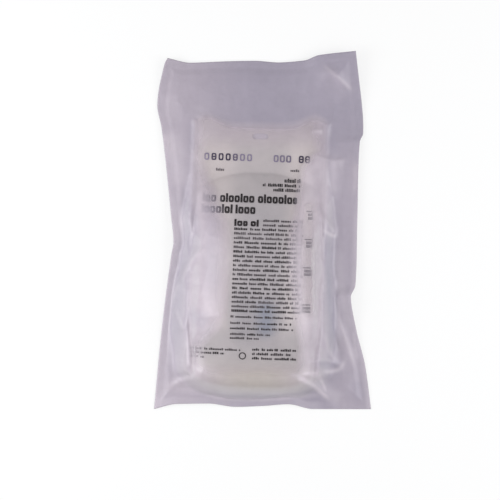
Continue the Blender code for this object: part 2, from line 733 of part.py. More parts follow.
def make_front_film():
    """The pouch's front film, which drapes over the bag and folds down to the seal."""
    across, down = pouch_lines()
    plan = pouch_plan(across, down)
    x = plan[..., 0]
    y = plan[..., 1]
    lift = pouch_lift(across, down, FRONT_RUN_FACTOR)
    back = pouch_lift(across, down, 1.0)
    seat = FILM_THICKNESS + CONTACT_GAP
    inside = inside_seal(across, down, AIR_RUN)
    flange = lift + seat + AIR_GAP * inside
    draped = draped_height(x, y)
    over = draped - flange
    over = 0.5 * (over + np.sqrt(over**2 + FOOT_ROUNDING**2)) * inside_seal(across, down, FOOT_RUN)
    folded = flange + over + fold_height(x, y) * inside
    lowest = np.maximum(np.minimum(draped, flange + over), back + seat)
    lower = np.stack([x, y, np.maximum(folded, lowest)], axis=-1)
    upper = lower + np.array([0.0, 0.0, FILM_THICKNESS])
    frosted = make_material("front_film", (0.68, 0.65, 0.71), 0.45, alpha=0.55)
    add_shell("overwrap_front_film", upper, lower, frosted)


def make_back_film():
    """The pouch's back film: flat on the floor, and rising to the sealed edges around the flat."""
    across, down = pouch_lines()
    plan = pouch_plan(across, down)
    lift = pouch_lift(across, down, 1.0)
    grid = np.concatenate([plan, lift[..., None]], axis=2)
    numbers = np.arange(len(across) * len(down)).reshape(len(down), len(across))
    rim = grid_border(numbers)
    flat_points = grid.reshape(-1, 3)
    column = np.minimum(np.maximum(rim % len(across), 1), len(across) - 2)
    row = np.minimum(np.maximum(rim // len(across), 1), len(down) - 2)
    seal_line = flat_points[row * len(across) + column]
    side = SIDE_RUN / POUCH_WIDTH
    s = np.clip(across[rim % len(across)], side, 1.0 - side)
    t = np.clip(down[rim // len(across)], TOP_RUN / POUCH_LENGTH, 1.0 - BOTTOM_RUN / POUCH_LENGTH)
    flat_line = np.array([flat_point(one_s, one_t) for one_s, one_t in zip(s, t)])
    edge = flat_points[rim]
    add_ringed_sheet("overwrap_back_film", [edge, seal_line, flat_line])


def flat_point(across, down):
    """The floor point of the back film at one pair of shares."""
    plan = pouch_plan(np.array([0.0, across, 1.0]), np.array([0.0, down, 1.0]))
    return (plan[1, 1, 0], plan[1, 1, 1], 0.0)


def add_ringed_sheet(name, loops):
    """A thin solid made of loops inside each other, whose last loop is filled flat."""
    frosted = make_material("back_film", (0.68, 0.65, 0.71), 0.45, alpha=0.55)
    count = len(loops[0])
    lower = np.concatenate(loops)
    upper = lower + np.array([0.0, 0.0, FILM_THICKNESS])
    faces = []
    total = len(lower)
    rings = [np.arange(count) + count * number for number in range(len(loops))]
    for outer, inner in zip(rings[:-1], rings[1:]):
        band = ring_triangles(outer, inner)
        faces += band[:, ::-1].tolist()
        faces += (band + total).tolist()
    faces += ring_triangles(rings[0], rings[0] + total).tolist()
    faces.append(rings[-1][::-1].tolist())
    faces.append((rings[-1] + total).tolist())
    points = np.concatenate([lower, upper])
    return add_object(name, points, faces, frosted)


def clear_scene():
    """Removes whatever the scene holds."""
    for piece in list(bpy.data.objects):
        bpy.data.objects.remove(piece, do_unlink=True)


def main():
    clear_scene()
    make_back_film()
    make_bag()
    make_outlet()
    make_inlet()
    make_front_film()


main()
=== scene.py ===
"""A 250 millilitre infusion bag sealed in its frosted overwrap pouch, lying on its back.

Run as a script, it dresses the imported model: fine surfaces for the two overwrap films, the bag and its
solution, the printed front and the ports, with their materials, and then the floor, lamps and camera.
All lengths are in metres. +X is to the right and +Y up as the print is read, and the floor is Z = 0.
"""

import math

import bmesh
import bpy
import numpy as np
from bpy.props import FloatProperty, FloatVectorProperty, IntProperty, PointerProperty
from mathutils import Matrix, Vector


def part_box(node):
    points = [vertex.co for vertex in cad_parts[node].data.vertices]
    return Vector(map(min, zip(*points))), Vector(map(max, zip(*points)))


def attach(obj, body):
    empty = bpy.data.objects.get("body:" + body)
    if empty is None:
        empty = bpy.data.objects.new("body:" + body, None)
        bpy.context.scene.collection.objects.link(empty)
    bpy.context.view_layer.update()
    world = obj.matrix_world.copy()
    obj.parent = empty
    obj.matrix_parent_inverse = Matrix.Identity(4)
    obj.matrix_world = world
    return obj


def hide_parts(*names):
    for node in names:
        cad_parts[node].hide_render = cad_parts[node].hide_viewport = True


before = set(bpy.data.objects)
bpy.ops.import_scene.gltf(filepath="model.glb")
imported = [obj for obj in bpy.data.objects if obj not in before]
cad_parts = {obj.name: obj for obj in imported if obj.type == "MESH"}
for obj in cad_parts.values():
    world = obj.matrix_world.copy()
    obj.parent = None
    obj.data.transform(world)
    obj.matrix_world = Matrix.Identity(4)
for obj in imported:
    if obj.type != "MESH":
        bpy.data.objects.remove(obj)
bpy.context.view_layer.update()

bl_info = {
    "name": "Infusion Bag in Overwrap",
    "version": (1, 0, 0),
    "blender": (4, 5, 0),
    "location": "3D View > Sidebar > Infusion Bag",
    "description": "Builds a sealed infusion bag around its packed model",
    "category": "Add Mesh",
}

MM = 0.001
FILM_LOW, FILM_HIGH = (np.array(corner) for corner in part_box("overwrap_front_film"))

# Overwrap pouch
CONTACT_GAP = 0.3 * MM
FILM_CLEARANCE = 0.8 * MM
FILM_THICKNESS = 0.15 * MM
POUCH_TOP_WIDTH = 145.9 * MM
POUCH_TOP_SHIFT = -0.75 * MM
POUCH_TOP_RISE = 5.1 * MM
AIR_GAP = 1.2 * MM
AIR_RUN = 16.0 * MM
SIDE_RUN = 18.0 * MM
TOP_RUN = 26.0 * MM
BOTTOM_RUN = 8.5 * MM
FRONT_RUN_FACTOR = 1.5
SIDE_SLOPE = 1.15
END_SLOPE = 2.0
FOOT_ROUNDING = 2.5 * MM
FOOT_RUN = 3.0 * MM
DRAPE_ROUNDING = 1.5 * MM
# The film is draped over a coarser bag: its columns, and its rows on flap, pillow and nose
DRAPE_GRID = (57, 41, 111, 13)
GUARD_SLOPE = 2.2
GUARD_ROUNDING = 1.5 * MM
FOLD_SHARE = 0.85
FOLD_END_SHARE = 0.12
FOLD_CREST = 1.3 * MM
# The painted highlight along each fold's crest: how far it reaches and how strong it is
CREST_HIGHLIGHT_REACH = 1.5 * MM
CREST_HIGHLIGHT_SHARE = 0.25
# How much of a painted band is kept at its ends
PAINTED_BAND_END_SHARE = 0.3

# Inner bag
SHEET_THICKNESS = 0.4 * MM
BAG_CENTRE_X = -4.0 * MM
BAG_TOP_Y = 88.0 * MM
BAG_TURN = math.radians(-1.85)
WELD_WIDTH = 5.0 * MM
FLAP_LENGTH = 43.0 * MM
SHOULDER_DROP = 13.0 * MM
SHOULDER_POWER = 2.5
EAR_HEIGHT = 7.5 * MM
EAR_SPACING = 84.0 * MM
EAR_WIDTH = 12.0 * MM
HANGER_SLOT_LENGTH = 12.0 * MM
HANGER_SLOT_WIDTH = 4.5 * MM
HANGER_SLOT_DROP = 14.5 * MM
CROWN_FALL = 10.0 * MM
CROWN_START = 0.48
CROWN_END = 0.66
DOME_POWER = 0.9
BULGE_POWER = 0.54
SEAM_HEIGHT = 9.5 * MM
SEAM_RISE_START = 34.4 * MM
SEAM_RISE_END = 83.0 * MM
LIFTED_SEAM_RISE = 4.5 * MM
LIFT_RUN = 27.0 * MM
LIFT_AHEAD = 3.0 * MM
NOSE_REACH = 12.5 * MM
NOSE_CORNER = 13.0 * MM
NOSE_NARROWING = 3.0 * MM
NOSE_NARROWING_START = 0.8
NOSE_SIDE_LOSS = 3.0 * MM
TAIL_LENGTH = 34.0 * MM
TAIL_NARROWING = 12.0 * MM
TAIL_SLACK = 0.5 * MM
FOLD_SLACK = 0.2 * MM
INNER_FOLD_REACH = 1.5 * MM
PUCKER_HEIGHT = 0.35 * MM
SHEET_COLUMNS = 89
FLAP_ROWS = 31
PILLOW_ROWS = 111
NOSE_ROWS = 25
TAIL_ROWS = 17

# Ports
PORT_SPACING = 20.0 * MM
PORT_WALL = 1.1 * MM
OUTLET_RADIUS = 3.6 * MM
OUTLET_LENGTH = 20.0 * MM
OUTLET_RING_RADIUS = 4.6 * MM
OUTLET_RING_WIDTH = 1.4 * MM
OUTLET_RING_PLACE = 11.0 * MM
MEMBRANE_THICKNESS = 0.5 * MM
MEMBRANE_PLACE = 8.0 * MM
COVER_WALL = 0.9 * MM
COVER_LENGTH = 24.0 * MM
COVER_LIP_RADIUS = 5.4 * MM
COVER_LIP_WIDTH = 1.6 * MM
COVER_TIP_NARROWING = 0.9 * MM
INLET_RADIUS = 4.0 * MM
INLET_LENGTH = 14.0 * MM
SEPTUM_HEAD = 3.0 * MM
SEPTUM_PLUG = 4.0 * MM
SEPTUM_DIMPLE = 0.4 * MM
BAND_WALL = 0.7 * MM
BAND_COVER = 4.0 * MM

# Haze of the front film: how fast it grows beside the print, and how much it is at each place
HAZE_RUN_LEFT = 12.0 * MM
HAZE_RUN_RIGHT = 8.5 * MM
FLAP_HAZE = 0.46
FOOT_HAZE = 0.80
FOLD_HAZE = 0.25
MARKS_MIDDLE = 35.0 * MM
MARKS_REACH = 7.5 * MM
MARKS_CLOSENESS = 0.62

# Painted light on the front film: how much paler it is painted over the bag, where lifted, to the left and
# lower right and along folds; then its painted paler rim and its cream lower end
FLAP_PAINTED_LIGHT = 0.90
LIFTED_PAINTED_LIGHT = 0.80
LEFT_PAINTED_LIGHT = 0.70
RIGHT_PAINTED_LIGHT = 0.50
FOLD_PAINTED_LIGHT = 0.35
LEFT_RIM = 0.42
SIDE_RIM = 0.26
CREAM_SHARE = 0.92
CREAM_MIDDLE = -6.0 * MM
CREAM_REACH = 36.0 * MM

# How much light the materials scatter, hide or let through
HAZE_UNREST = 0.10
SHADOW_PASSED = 0.65
BACK_FILM_COVER = (0.60, 0.70)
# Painted light on the back film under the bag
BACK_FILM_PAINTED_LIGHT = 0.7
VINYL_COVER = (0.80, 0.88)
SOLUTION_COVER = (0.22, 0.30)
COVER_TINT = 0.48
COVER_TINT_REACH = 12.0 * MM
COVER_TINT_SHIFT = (-1.2 * MM, -2.0 * MM)
# Middle, across the bag, of the painted shade over the solution, in millimetres
FLUID_SHADE_MIDDLE = 5.0
VEIL_PASSED = 0.42
VEIL_ADDED = 0.14
FILM_INDEX = 1.4
WATER_INDEX = 1.333
INK_WEAR = 0.5
# Moulded materials: roughness, how fine the grain is and how deep
PORT_VINYL_FINISH = (0.3, 500.0, 0.05 * MM)
COVER_FINISH = (0.4, 800.0, 0.05 * MM)
RUBBER_FINISH = (0.7, 900.0, 0.1 * MM)

# Stage
WHITE = (1.0, 1.0, 1.0, 1.0)
SKY_COLOUR = (0.97, 0.98, 1.0, 1.0)
FLOOR_REACH = 4.0
FLOOR_HEIGHT = -0.3 * MM
FLOOR_WHITENESS = 0.75
LAMP_SIZE = 0.45
KEY_PLACE = (-0.58, -0.04, 0.44)
FILL_PLACE = (0.60, -0.08, 0.50)
VIEW_CENTRE = (-9.75 * MM, -15.1 * MM)
NODE_SPACING = 180

# The pouch's edges: share of the edge's length, outward bow, and lift off the floor, both in millimetres
LEFT_EDGE = (
    (0.000, 0.0, 5.0),
    (0.015, 2.2, 4.5),
    (0.130, 6.9, 0.8),
    (0.198, 2.8, 1.8),
    (0.446, -7.3, 4.2),
    (0.527, -10.1, 6.5),
    (0.560, -8.8, 4.5),
    (0.800, -3.0, 1.0),
    (1.000, 0.0, 0.0),
)
RIGHT_EDGE = (
    (0.000, 0.0, 10.0),
    (0.044, 1.0, 7.5),
    (0.193, 3.8, 1.2),
    (0.227, 3.4, 1.6),
    (0.252, 0.4, 3.2),
    (0.471, -4.3, 3.6),
    (0.653, -8.1, 4.6),
    (0.686, -12.2, 7.5),
    (0.777, -8.9, 2.8),
    (0.878, -3.1, 0.5),
    (1.000, 0.0, 0.0),
)
TOP_EDGE = (
    (0.000, 0.0, 5.0),
    (0.128, -4.0, 1.6),
    (0.315, -3.7, 0.6),
    (0.465, -4.1, 0.5),
    (0.604, -6.1, 1.0),
    (0.727, -5.4, 3.4),
    (0.807, -1.9, 6.5),
    (1.000, 0.0, 10.0),
)
BOTTOM_EDGE = (
    (0.000, 0.0, 0.0),
    (0.106, -4.2, 2.4),
    (0.249, -4.6, 3.0),
    (0.378, -1.8, 0.5),
    (0.498, -2.5, 1.0),
    (0.618, -4.0, 2.8),
    (0.733, -0.1, 0.2),
    (1.000, 0.0, 0.0),
)

# Folds of the front film, in millimetres: the path's points (x, y), how far the fold reaches to its left
# and to its right as the path is followed, and its height, which is below zero for a valley
FOLDS = (
    (((44.0, 131.0), (58.0, 119.5), (73.0, 106.5)), 3.0, 9.0, 3.4),
    (((50.0, 121.5), (58.0, 113.5), (67.0, 106.5)), 3.0, 3.0, -1.4),
    (((-76.5, 78.0), (-73.0, 67.0), (-68.5, 55.0)), 4.0, 3.0, 1.6),
    (((-67.5, 58.0), (-64.5, 44.0), (-65.5, 22.0)), 2.2, 4.5, 1.1),
    (((-59.0, 16.0), (-63.0, 5.0), (-69.5, -9.0)), 2.5, 3.0, 2.4),
    (((-59.0, 14.0), (-55.5, 4.0), (-54.0, -8.0)), 2.5, 2.5, 1.6),
    (((-45.5, -12.0), (-53.0, -21.0), (-60.0, -31.5), (-63.5, -44.0)), 2.0, 4.0, 2.2),
    (((-62.5, -38.0), (-67.5, -46.0), (-71.0, -58.0)), 3.0, 3.0, 1.8),
    (((-67.5, -58.0), (-65.5, -67.0), (-59.5, -80.0)), 2.5, 2.5, 1.8),
    (((-56.0, -65.5), (-42.0, -66.0), (-26.0, -64.5)), 1.6, 1.6, 0.5),
    (((-81.0, -125.5), (-66.0, -118.5), (-48.0, -112.5)), 2.5, 5.0, 1.5),
    (((-60.0, -100.0), (-51.0, -107.5), (-43.0, -111.0)), 2.0, 3.0, 1.0),
    (((37.5, 77.0), (42.0, 77.0), (47.5, 78.5)), 1.0, 1.2, 1.5),
    (((36.0, 60.0), (45.0, 57.0), (52.0, 54.5), (69.0, 54.0)), 1.5, 9.0, 1.6),
    (((71.5, 57.0), (72.5, 42.0), (71.0, 25.0)), 2.5, 2.5, 1.6),
    (((50.5, 56.0), (52.5, 30.0), (51.0, 3.0)), 4.5, 4.0, 0.6),
    (((44.5, 14.5), (51.0, 5.0), (58.0, -5.0)), 2.2, 5.0, 1.9),
    (((49.5, -62.0), (56.0, -81.0), (62.5, -101.0)), 2.5, 2.5, -1.6),
    (((48.5, -76.0), (50.0, -92.0), (60.0, -105.0)), 1.8, 2.5, 1.8),
    (((56.0, -60.0), (64.5, -84.0), (73.0, -110.0)), 2.0, 4.0, 2.0),
    (((31.0, -105.0), (40.0, -101.0), (50.0, -99.5), (61.5, -106.5)), 1.5, 2.5, 1.8),
    (((22.5, -111.5), (33.0, -110.5), (42.5, -110.0), (50.0, -121.0)), 1.5, 2.2, 1.8),
    (((22.5, -112.5), (32.0, -117.5), (43.0, -122.0), (55.5, -133.0)), 1.5, 2.2, 1.8),
)

# Painted highlights and painted shade on the film, as bands along paths: the path's points (x, y) and how far
# it reaches, in millimetres, and how much paler, below zero for greyer
PAINTED_BANDS = (
    (((30.0, 58.0), (34.5, 42.0), (34.0, 22.0), (36.0, 2.0)), 8.0, 1.0),
    (((41.0, 60.0), (47.0, 44.0), (49.0, 24.0), (50.0, 8.0)), 6.0, 0.45),
    (((55.5, 58.0), (55.0, 44.0), (55.0, 26.0)), 4.0, 0.42),
    (((46.0, 1.5), (52.5, -3.5), (58.0, -4.5)), 1.6, 0.60),
    (((-76.0, 80.0), (-68.0, 58.0), (-63.0, 30.0)), 9.0, 0.50),
    (((-67.5, 42.0), (-64.8, 30.0), (-65.5, 12.0), (-66.5, -14.0)), 3.5, 0.42),
    (((-57.0, 16.0), (-55.5, 7.0), (-54.0, -1.0)), 1.5, 0.40),
    (((-47.0, 90.0), (-46.5, 72.0), (-50.0, 52.0), (-50.0, 28.0), (-52.0, 12.0)), 7.5, 0.52),
    (((-51.5, 66.0), (-50.0, 56.0), (-49.5, 44.0)), 4.5, 0.80),
    (((-72.0, 108.0), (-74.0, 92.0), (-70.0, 80.0)), 8.0, 0.20),
    (((-34.0, -60.0), (-31.0, -70.0), (-36.0, -86.0), (-44.0, -99.0), (-54.0, -109.0)), 8.5, 0.80),
    (((-58.0, -82.0), (-57.4, -92.0), (-56.3, -105.0), (-55.5, -116.0)), 1.8, 0.55),
    (
        ((-56.0, -122.0), (-45.0, -127.0), (-33.0, -130.0), (-21.0, -131.2))
        + ((2.0, -131.2), (14.0, -130.4), (26.0, -129.0), (44.0, -128.0)),
        2.4,
        0.70,
    ),
    (((31.5, -58.0), (30.5, -80.0), (31.0, -94.0), (33.0, -104.0)), 7.0, 0.85),
    (((38.0, -117.0), (49.0, -124.0), (62.0, -134.0)), 6.0, 0.40),
    (((21.0, -110.0), (31.0, -114.0), (42.5, -122.8), (54.0, -133.0)), 2.2, 0.90),
    (((28.0, -110.0), (38.0, -110.5), (43.0, -112.5), (47.0, -119.0), (51.0, -129.0)), 1.8, 0.75),
    (((46.0, -109.5), (54.0, -109.7), (61.0, -108.0), (64.5, -100.0)), 1.7, 0.60),
    (((-75.0, -120.0), (-45.0, -124.0), (-15.0, -128.0)), 6.0, 0.40),
    (((58.5, -10.0), (59.0, -32.0), (62.0, -54.0), (68.0, -72.0), (70.0, -84.0)), 4.5, 0.32),
    (((58.5, -48.0), (59.5, -66.0), (59.5, -78.0), (60.0, -92.0)), 2.0, 0.38),
    (((70.5, -76.0), (72.0, -90.0), (74.5, -102.0)), 1.8, 0.42),
    (((44.0, 14.0), (47.0, 7.0), (50.0, -1.0)), 2.0, 0.35),
    (((46.0, -24.0), (47.2, -40.0), (47.0, -50.0)), 1.8, 0.38),
    (((-42.0, 30.0), (-38.0, 10.0), (-39.0, -15.0), (-38.0, -52.0)), 8.0, -0.55),
    (
        ((-57.0, 50.0), (-57.5, 36.0), (-58.5, 20.0), (-55.0, -3.0))
        + ((-58.0, -16.0), (-64.0, -32.0), (-67.0, -58.0), (-67.0, -104.0)),
        8.0,
        -0.82,
    ),
    (((-60.0, -62.0), (-52.0, -67.0), (-41.0, -72.0)), 6.5, -0.62),
    (((50.5, 2.0), (52.5, -17.0), (52.5, -34.0), (52.5, -52.0), (54.5, -70.0), (55.0, -98.0)), 4.2, -1.4),
    (((42.0, -103.5), (60.0, -103.5)), 4.2, -1.0),
    (((74.0, -116.0), (76.0, -132.0)), 5.0, -0.60),
    (((53.0, 92.0), (53.5, 74.0), (53.0, 60.0)), 4.0, -0.80),
    (((-55.5, 86.0), (-55.0, 70.0), (-55.5, 58.0)), 2.5, -0.60),
)

# Where the film lies close on the print: the place up the page, then the left and the right limit, in
# millimetres. The print is sharp between them and fades outside
CLOSE_FILM = (
    (62.0, -43.0, 38.0),
    (47.0, -40.0, 28.0),
    (27.0, -31.0, 24.0),
    (14.0, -28.0, 22.0),
    (4.0, -23.0, 19.0),
    (-10.0, -22.0, 17.5),
    (-40.0, -23.0, 18.5),
    (-62.0, -25.0, 21.0),
    (-75.0, -30.0, 23.0),
    (-84.0, -38.0, 25.0),
    (-92.0, -43.0, 26.0),
    (-102.0, -42.0, 25.0),
    (-114.0, -37.0, 25.0),
    (-124.0, -30.0, 20.0),
)

# Print on the bag's front. Places and sizes are in millimetres on the page, before it is turned
PAGE_MIDDLE = (-2.0, -5.0)
INK_LIFT = 0.25 * MM
PRINT_CELL = 1.5
BLOCK_WIDTHS = (0.75, 1.25)
BLOCK_GAP = 0.35
WORD_GAPS = (0.8, 1.9)
# Stamped rows: left, top, spacing, how strong each shape is, and which shape it is
STAMPED_ROWS = (
    (-47.5, 59.3, 5.55, (0.2, 0.9, 1.0, 1.0, 0.6, 0.3, 0.2), "0800800"),
    (6.5, 59.3, 4.9, (0.3, 0.4, 0.5, 0.0, 1.0, 1.0), "000 88"),
)
STAMP_WIDTH = 3.9
STAMP_HEIGHT = 5.6
STAMP_STROKE = 1.1
# Bold rows: the width of each word, then left, top and height
BOLD_ROWS = (
    ((11.4, 27.0, 30.2), -47.6, 27.9, 6.9),
    ((24.1, 15.6), -48.0, 19.2, 6.9),
    ((10.2, 7.6), -22.1, 8.0, 5.3),
)
BOLD_PATTERN = "-ooo-oo-ooo"
BOLD_BODY = 0.78
BOLD_BLOCK = 4.0
BOLD_STROKE = 1.5
BOLD_UPRIGHT = 1.6
BOLD_GAP = 0.55
BOLD_WORD_GAP = 2.3
# Small rows above the column: left, right, top, height and how strong; two captions, then three codes
UPPER_ROWS = (
    (-38.0, -30.5, 47.7, 2.2, 0.3),
    (20.0, 27.5, 48.6, 2.0, 0.4),
    (15.5, 28.8, 41.2, 3.3, 1.0),
    (-1.3, 28.8, 36.7, 2.4, 1.0),
    (7.0, 28.8, 33.1, 2.5, 0.95),
)
# The column of small type: how strong each row is, from the top. The first rows are set further right
COLUMN_ROWS = (
    (0.90, 0.75, 0.80, 0.70, 0.50, 0.85, 0.90)
    + (0.90, 0.95, 1.00, 0.65, 0.95, 0.60, 1.00)
    + (0.95, 1.00, 0.95, 0.80, 0.70, 0.80, 1.00)
)
COLUMN_TOP = 8.5
COLUMN_PITCH = 3.475
COLUMN_LEFT = -22.0
COLUMN_RIGHT = 32.0
COLUMN_HEIGHT = 1.9
COLUMN_RAGGED = 3.5
INDENTED_ROWS = 2
# Small rows below the column, as above
LOWER_ROWS = (
    (-22.5, 28.0, -65.6, 1.7, 0.8),
    (-22.5, 24.0, -70.5, 1.7, 0.8),
    (-22.5, 26.0, -74.6, 1.7, 0.8),
    (-22.5, 9.0, -79.0, 1.7, 0.8),
    (-22.5, 1.0, -82.1, 1.7, 0.8),
    (-53.5, -13.5, -91.3, 1.75, 0.85),
    (-53.5, -26.0, -94.4, 1.75, 0.85),
    (-53.5, -41.0, -97.7, 1.75, 0.85),
    (-5.0, 30.0, -90.4, 1.9, 0.95),
    (-5.0, 25.5, -93.8, 1.9, 0.95),
    (-5.0, 30.0, -97.2, 1.9, 0.95),
)
RING = (-15.2, -9.6, -93.9, -99.5)
RING_STROKE = 0.8
# Volume marks: top and left of each, then the bars of one mark: indent, distance from its top, and height
VOLUME_MARKS = ((16.4, 33.2), (-5.3, 32.4), (-27.0, 31.6), (-55.5, 30.6))
VOLUME_RIGHT = 38.6
VOLUME_BARS = ((0.0, 0.0, 1.0), (1.2, 2.0, 2.1), (1.2, 4.7, 2.1))


# Settings


class PouchSettings(bpy.types.PropertyGroup):
    """The overwrap's sizes and colours."""

    width: FloatProperty(
        name="Width",
        description="Width of the pouch at its lower corners",
        default=FILM_HIGH[0] - FILM_LOW[0],
        unit="LENGTH",
    )
    length: FloatProperty(
        name="Length",
        description="Length of the pouch from its lower corners to its highest top corner",
        default=FILM_HIGH[1] - FILM_LOW[1],
        unit="LENGTH",
    )
    seal: FloatProperty(
        name="Seal",
        description="Width of the heat seal all round",
        default=5.0 * MM,
        unit="LENGTH",
    )
    colour: FloatVectorProperty(
        name="Film",
        description="Colour of the frosted film where nothing lies behind it",
        default=(0.474, 0.426, 0.526),
        subtype="COLOR",
        min=0.0,
        max=1.0,
    )
    # Painted light: the film's colour where light is painted in fully
    painted_lit_colour: FloatVectorProperty(
        name="Film with Painted Light",
        description="Colour of the frosted film where light is painted in fully: scattered back from the bag, on lifted slopes and folds",
        default=(0.638, 0.558, 0.640),
        subtype="COLOR",
        min=0.0,
        max=1.0,
    )
    cream_colour: FloatVectorProperty(
        name="Film over the Lower End",
        description="Colour of the film where the bag's doubled cream vinyl lies close behind it",
        default=(0.735, 0.668, 0.625),
        subtype="COLOR",
        min=0.0,
        max=1.0,
    )
    # Painted highlights: on fold crests, in pale bands and along the rim
    painted_highlight_colour: FloatVectorProperty(
        name="Painted Highlights",
        description="Colour of the painted highlights on the film's fold crests, pale bands and rim",
        default=(0.885, 0.795, 0.875),
        subtype="COLOR",
        min=0.0,
        max=1.0,
    )
    clear: FloatProperty(
        name="Cover in Contact",
        description="Share of what lies behind that each face of the film hides where it touches the bag",
        default=0.012,
        min=0.0,
        max=1.0,
        subtype="FACTOR",
    )
    hazy: FloatProperty(
        name="Cover when Lifted",
        description="Share of what lies behind that each face of the film hides where it stands off the bag",
        default=0.55,
        min=0.0,
        max=1.0,
        subtype="FACTOR",
    )
    columns: IntProperty(
        name="Columns", description="Cells across the films", default=165, min=20, max=200
    )
    rows: IntProperty(
        name="Rows", description="Cells down the films", default=285, min=30, max=320
    )


class BagSettings(bpy.types.PropertyGroup):
    """The inner bag's sizes and colours."""

    width: FloatProperty(
        name="Width",
        description="Width of the bag with its welds",
        default=103.0 * MM,
        unit="LENGTH",
    )
    length: FloatProperty(
        name="Length",
        description="Length of the bag from its hanger flap to its folded lower end",
        default=212.5 * MM,
        unit="LENGTH",
    )
    crown: FloatProperty(
        name="Height",
        description="Height of the filled bag's highest point above the floor",
        default=34.0 * MM,
        unit="LENGTH",
    )
    colour: FloatVectorProperty(
        name="Vinyl",
        description="Colour of the bag's vinyl",
        default=(0.655, 0.588, 0.588),
        subtype="COLOR",
        min=0.0,
        max=1.0,
    )
    doubled_colour: FloatVectorProperty(
        name="Doubled Vinyl",
        description="Colour of the vinyl at the lower end, where the tail lies behind it",
        default=(0.655, 0.592, 0.555),
        subtype="COLOR",
        min=0.0,
        max=1.0,
    )
    # Painted shade: the vinyl's colour over deep clear solution
    fluid_shade_colour: FloatVectorProperty(
        name="Vinyl with Painted Shade",
        description="Colour of the vinyl with painted shade, where clear solution lies deep behind it",
        default=(0.430, 0.403, 0.426),
        subtype="COLOR",
        min=0.0,
        max=1.0,
    )
    solution: FloatVectorProperty(
        name="Solution",
        description="Colour of the solution",
        default=(0.90, 0.92, 0.92),
        subtype="COLOR",
        min=0.0,
        max=1.0,
    )


class PrintSettings(bpy.types.PropertyGroup):
    """The marks printed on the bag's front."""

    ink: FloatVectorProperty(
        name="Ink",
        description="Colour of the boldest marks",
        default=(0.012, 0.009, 0.009),
        subtype="COLOR",
        min=0.0,
        max=1.0,
    )
    faint_ink: FloatVectorProperty(
        name="Faint Ink",
        description="Colour of the thinnest marks",
        default=(0.16, 0.14, 0.15),
        subtype="COLOR",
        min=0.0,
        max=1.0,
    )
    stamp: FloatVectorProperty(
        name="Stamp",
        description="Colour of the stamped row where it is strongest",
        default=(0.04, 0.03, 0.06),
        subtype="COLOR",
        min=0.0,
        max=1.0,
    )
    faint_stamp: FloatVectorProperty(
        name="Faint Stamp",
        description="Colour of the stamped row where it is weakest",
        default=(0.30, 0.26, 0.36),
        subtype="COLOR",
        min=0.0,
        max=1.0,
    )
    turn: FloatProperty(
        name="Turn",
        description="Turn of the print against the pouch",
        default=math.radians(-2.0),
        subtype="ANGLE",
    )


class PortSettings(bpy.types.PropertyGroup):
    """The two ports, on the tail that is folded up behind the bag."""

    cover_colour: FloatVectorProperty(
        name="Port Cover",
        description="Colour of the pull-off cover",
        default=(0.06, 0.20, 0.46),
        subtype="COLOR",
        min=0.0,
        max=1.0,
    )
    tube_colour: FloatVectorProperty(
        name="Tube",
        description="Colour of the milky port tubes",
        default=(0.70, 0.69, 0.66),
        subtype="COLOR",
        min=0.0,
        max=1.0,
    )
    septum_colour: FloatVectorProperty(
        name="Septum",
        description="Colour of the rubber septum",
        default=(0.55, 0.42, 0.26),
        subtype="COLOR",
        min=0.0,
        max=1.0,
    )
    sides: IntProperty(
        name="Sides", description="Sides of the round pieces", default=64, min=12, max=128
    )


class StageSettings(bpy.types.PropertyGroup):
    """Floor, lamps and camera."""

    floor_colour: FloatVectorProperty(
        name="Floor",
        description="Colour of the plain floor",
        default=(0.92, 0.92, 0.92),
        subtype="COLOR",
        min=0.0,
        max=1.0,
    )
    key_power: FloatProperty(
        name="Key", description="Power of the large lamp on the left", default=2.6, unit="POWER"
    )
    fill_power: FloatProperty(
        name="Fill", description="Power of the large lamp on the right", default=2.0, unit="POWER"
    )
    sky: FloatProperty(
        name="Sky", description="Strength of the even light from all round", default=0.63, min=0.0
    )
    camera_height: FloatProperty(
        name="Camera Height",
        description="Height of the camera above the floor",
        default=1.5,
        unit="LENGTH",
    )
    view_width: FloatProperty(
        name="View Width",
        description="Width of the floor that the camera sees",
        default=0.39,
        unit="LENGTH",
    )


# Curves and small helpers


def smooth_step(value, low, high):
    """0 below low, 1 above high, and an S curve of 3 t squared minus 2 t cubed between them."""
    share = np.clip((value - low) / (high - low), 0.0, 1.0)
    return share * share * (3.0 - 2.0 * share)


def smooth_fall(value, low, high):
    """1 below low, 0 above high, and the same S curve downwards between them."""
    return 1.0 - smooth_step(value, low, high)


def smooth_greater(first, second, rounding):
    """The greater of two heights, with the corner where they cross rounded as a hyperbola."""
    return 0.5 * (first + second + np.sqrt((first - second) ** 2 + rounding**2))


def curve_through(places, heights, at):
    """A cubic through each pair of points, with slopes that are harmonic means, so it never overshoots."""
    places = np.asarray(places, float)
    heights = np.asarray(heights, float)
    steps = np.diff(places)
    slopes = np.diff(heights) / steps
    product = slopes[:-1] * slopes[1:]
    both = np.where(product > 0.0, slopes[:-1] + slopes[1:], 1.0)
    inner = np.where(product > 0.0, 2.0 * product / both, 0.0)
    tangents = np.concatenate([slopes[:1], inner, slopes[-1:]])
    cell = np.clip(np.searchsorted(places, at, side="right") - 1, 0, len(steps) - 1)
    part = np.clip((at - places[cell]) / steps[cell], 0.0, 1.0)
    rest = 1.0 - part
    start = heights[cell] * (1.0 + 2.0 * part) * rest**2 + tangents[cell] * steps[cell] * part * rest**2
    end = heights[cell + 1] * (3.0 - 2.0 * part) * part**2
    return start + end - tangents[cell + 1] * steps[cell] * part**2 * rest


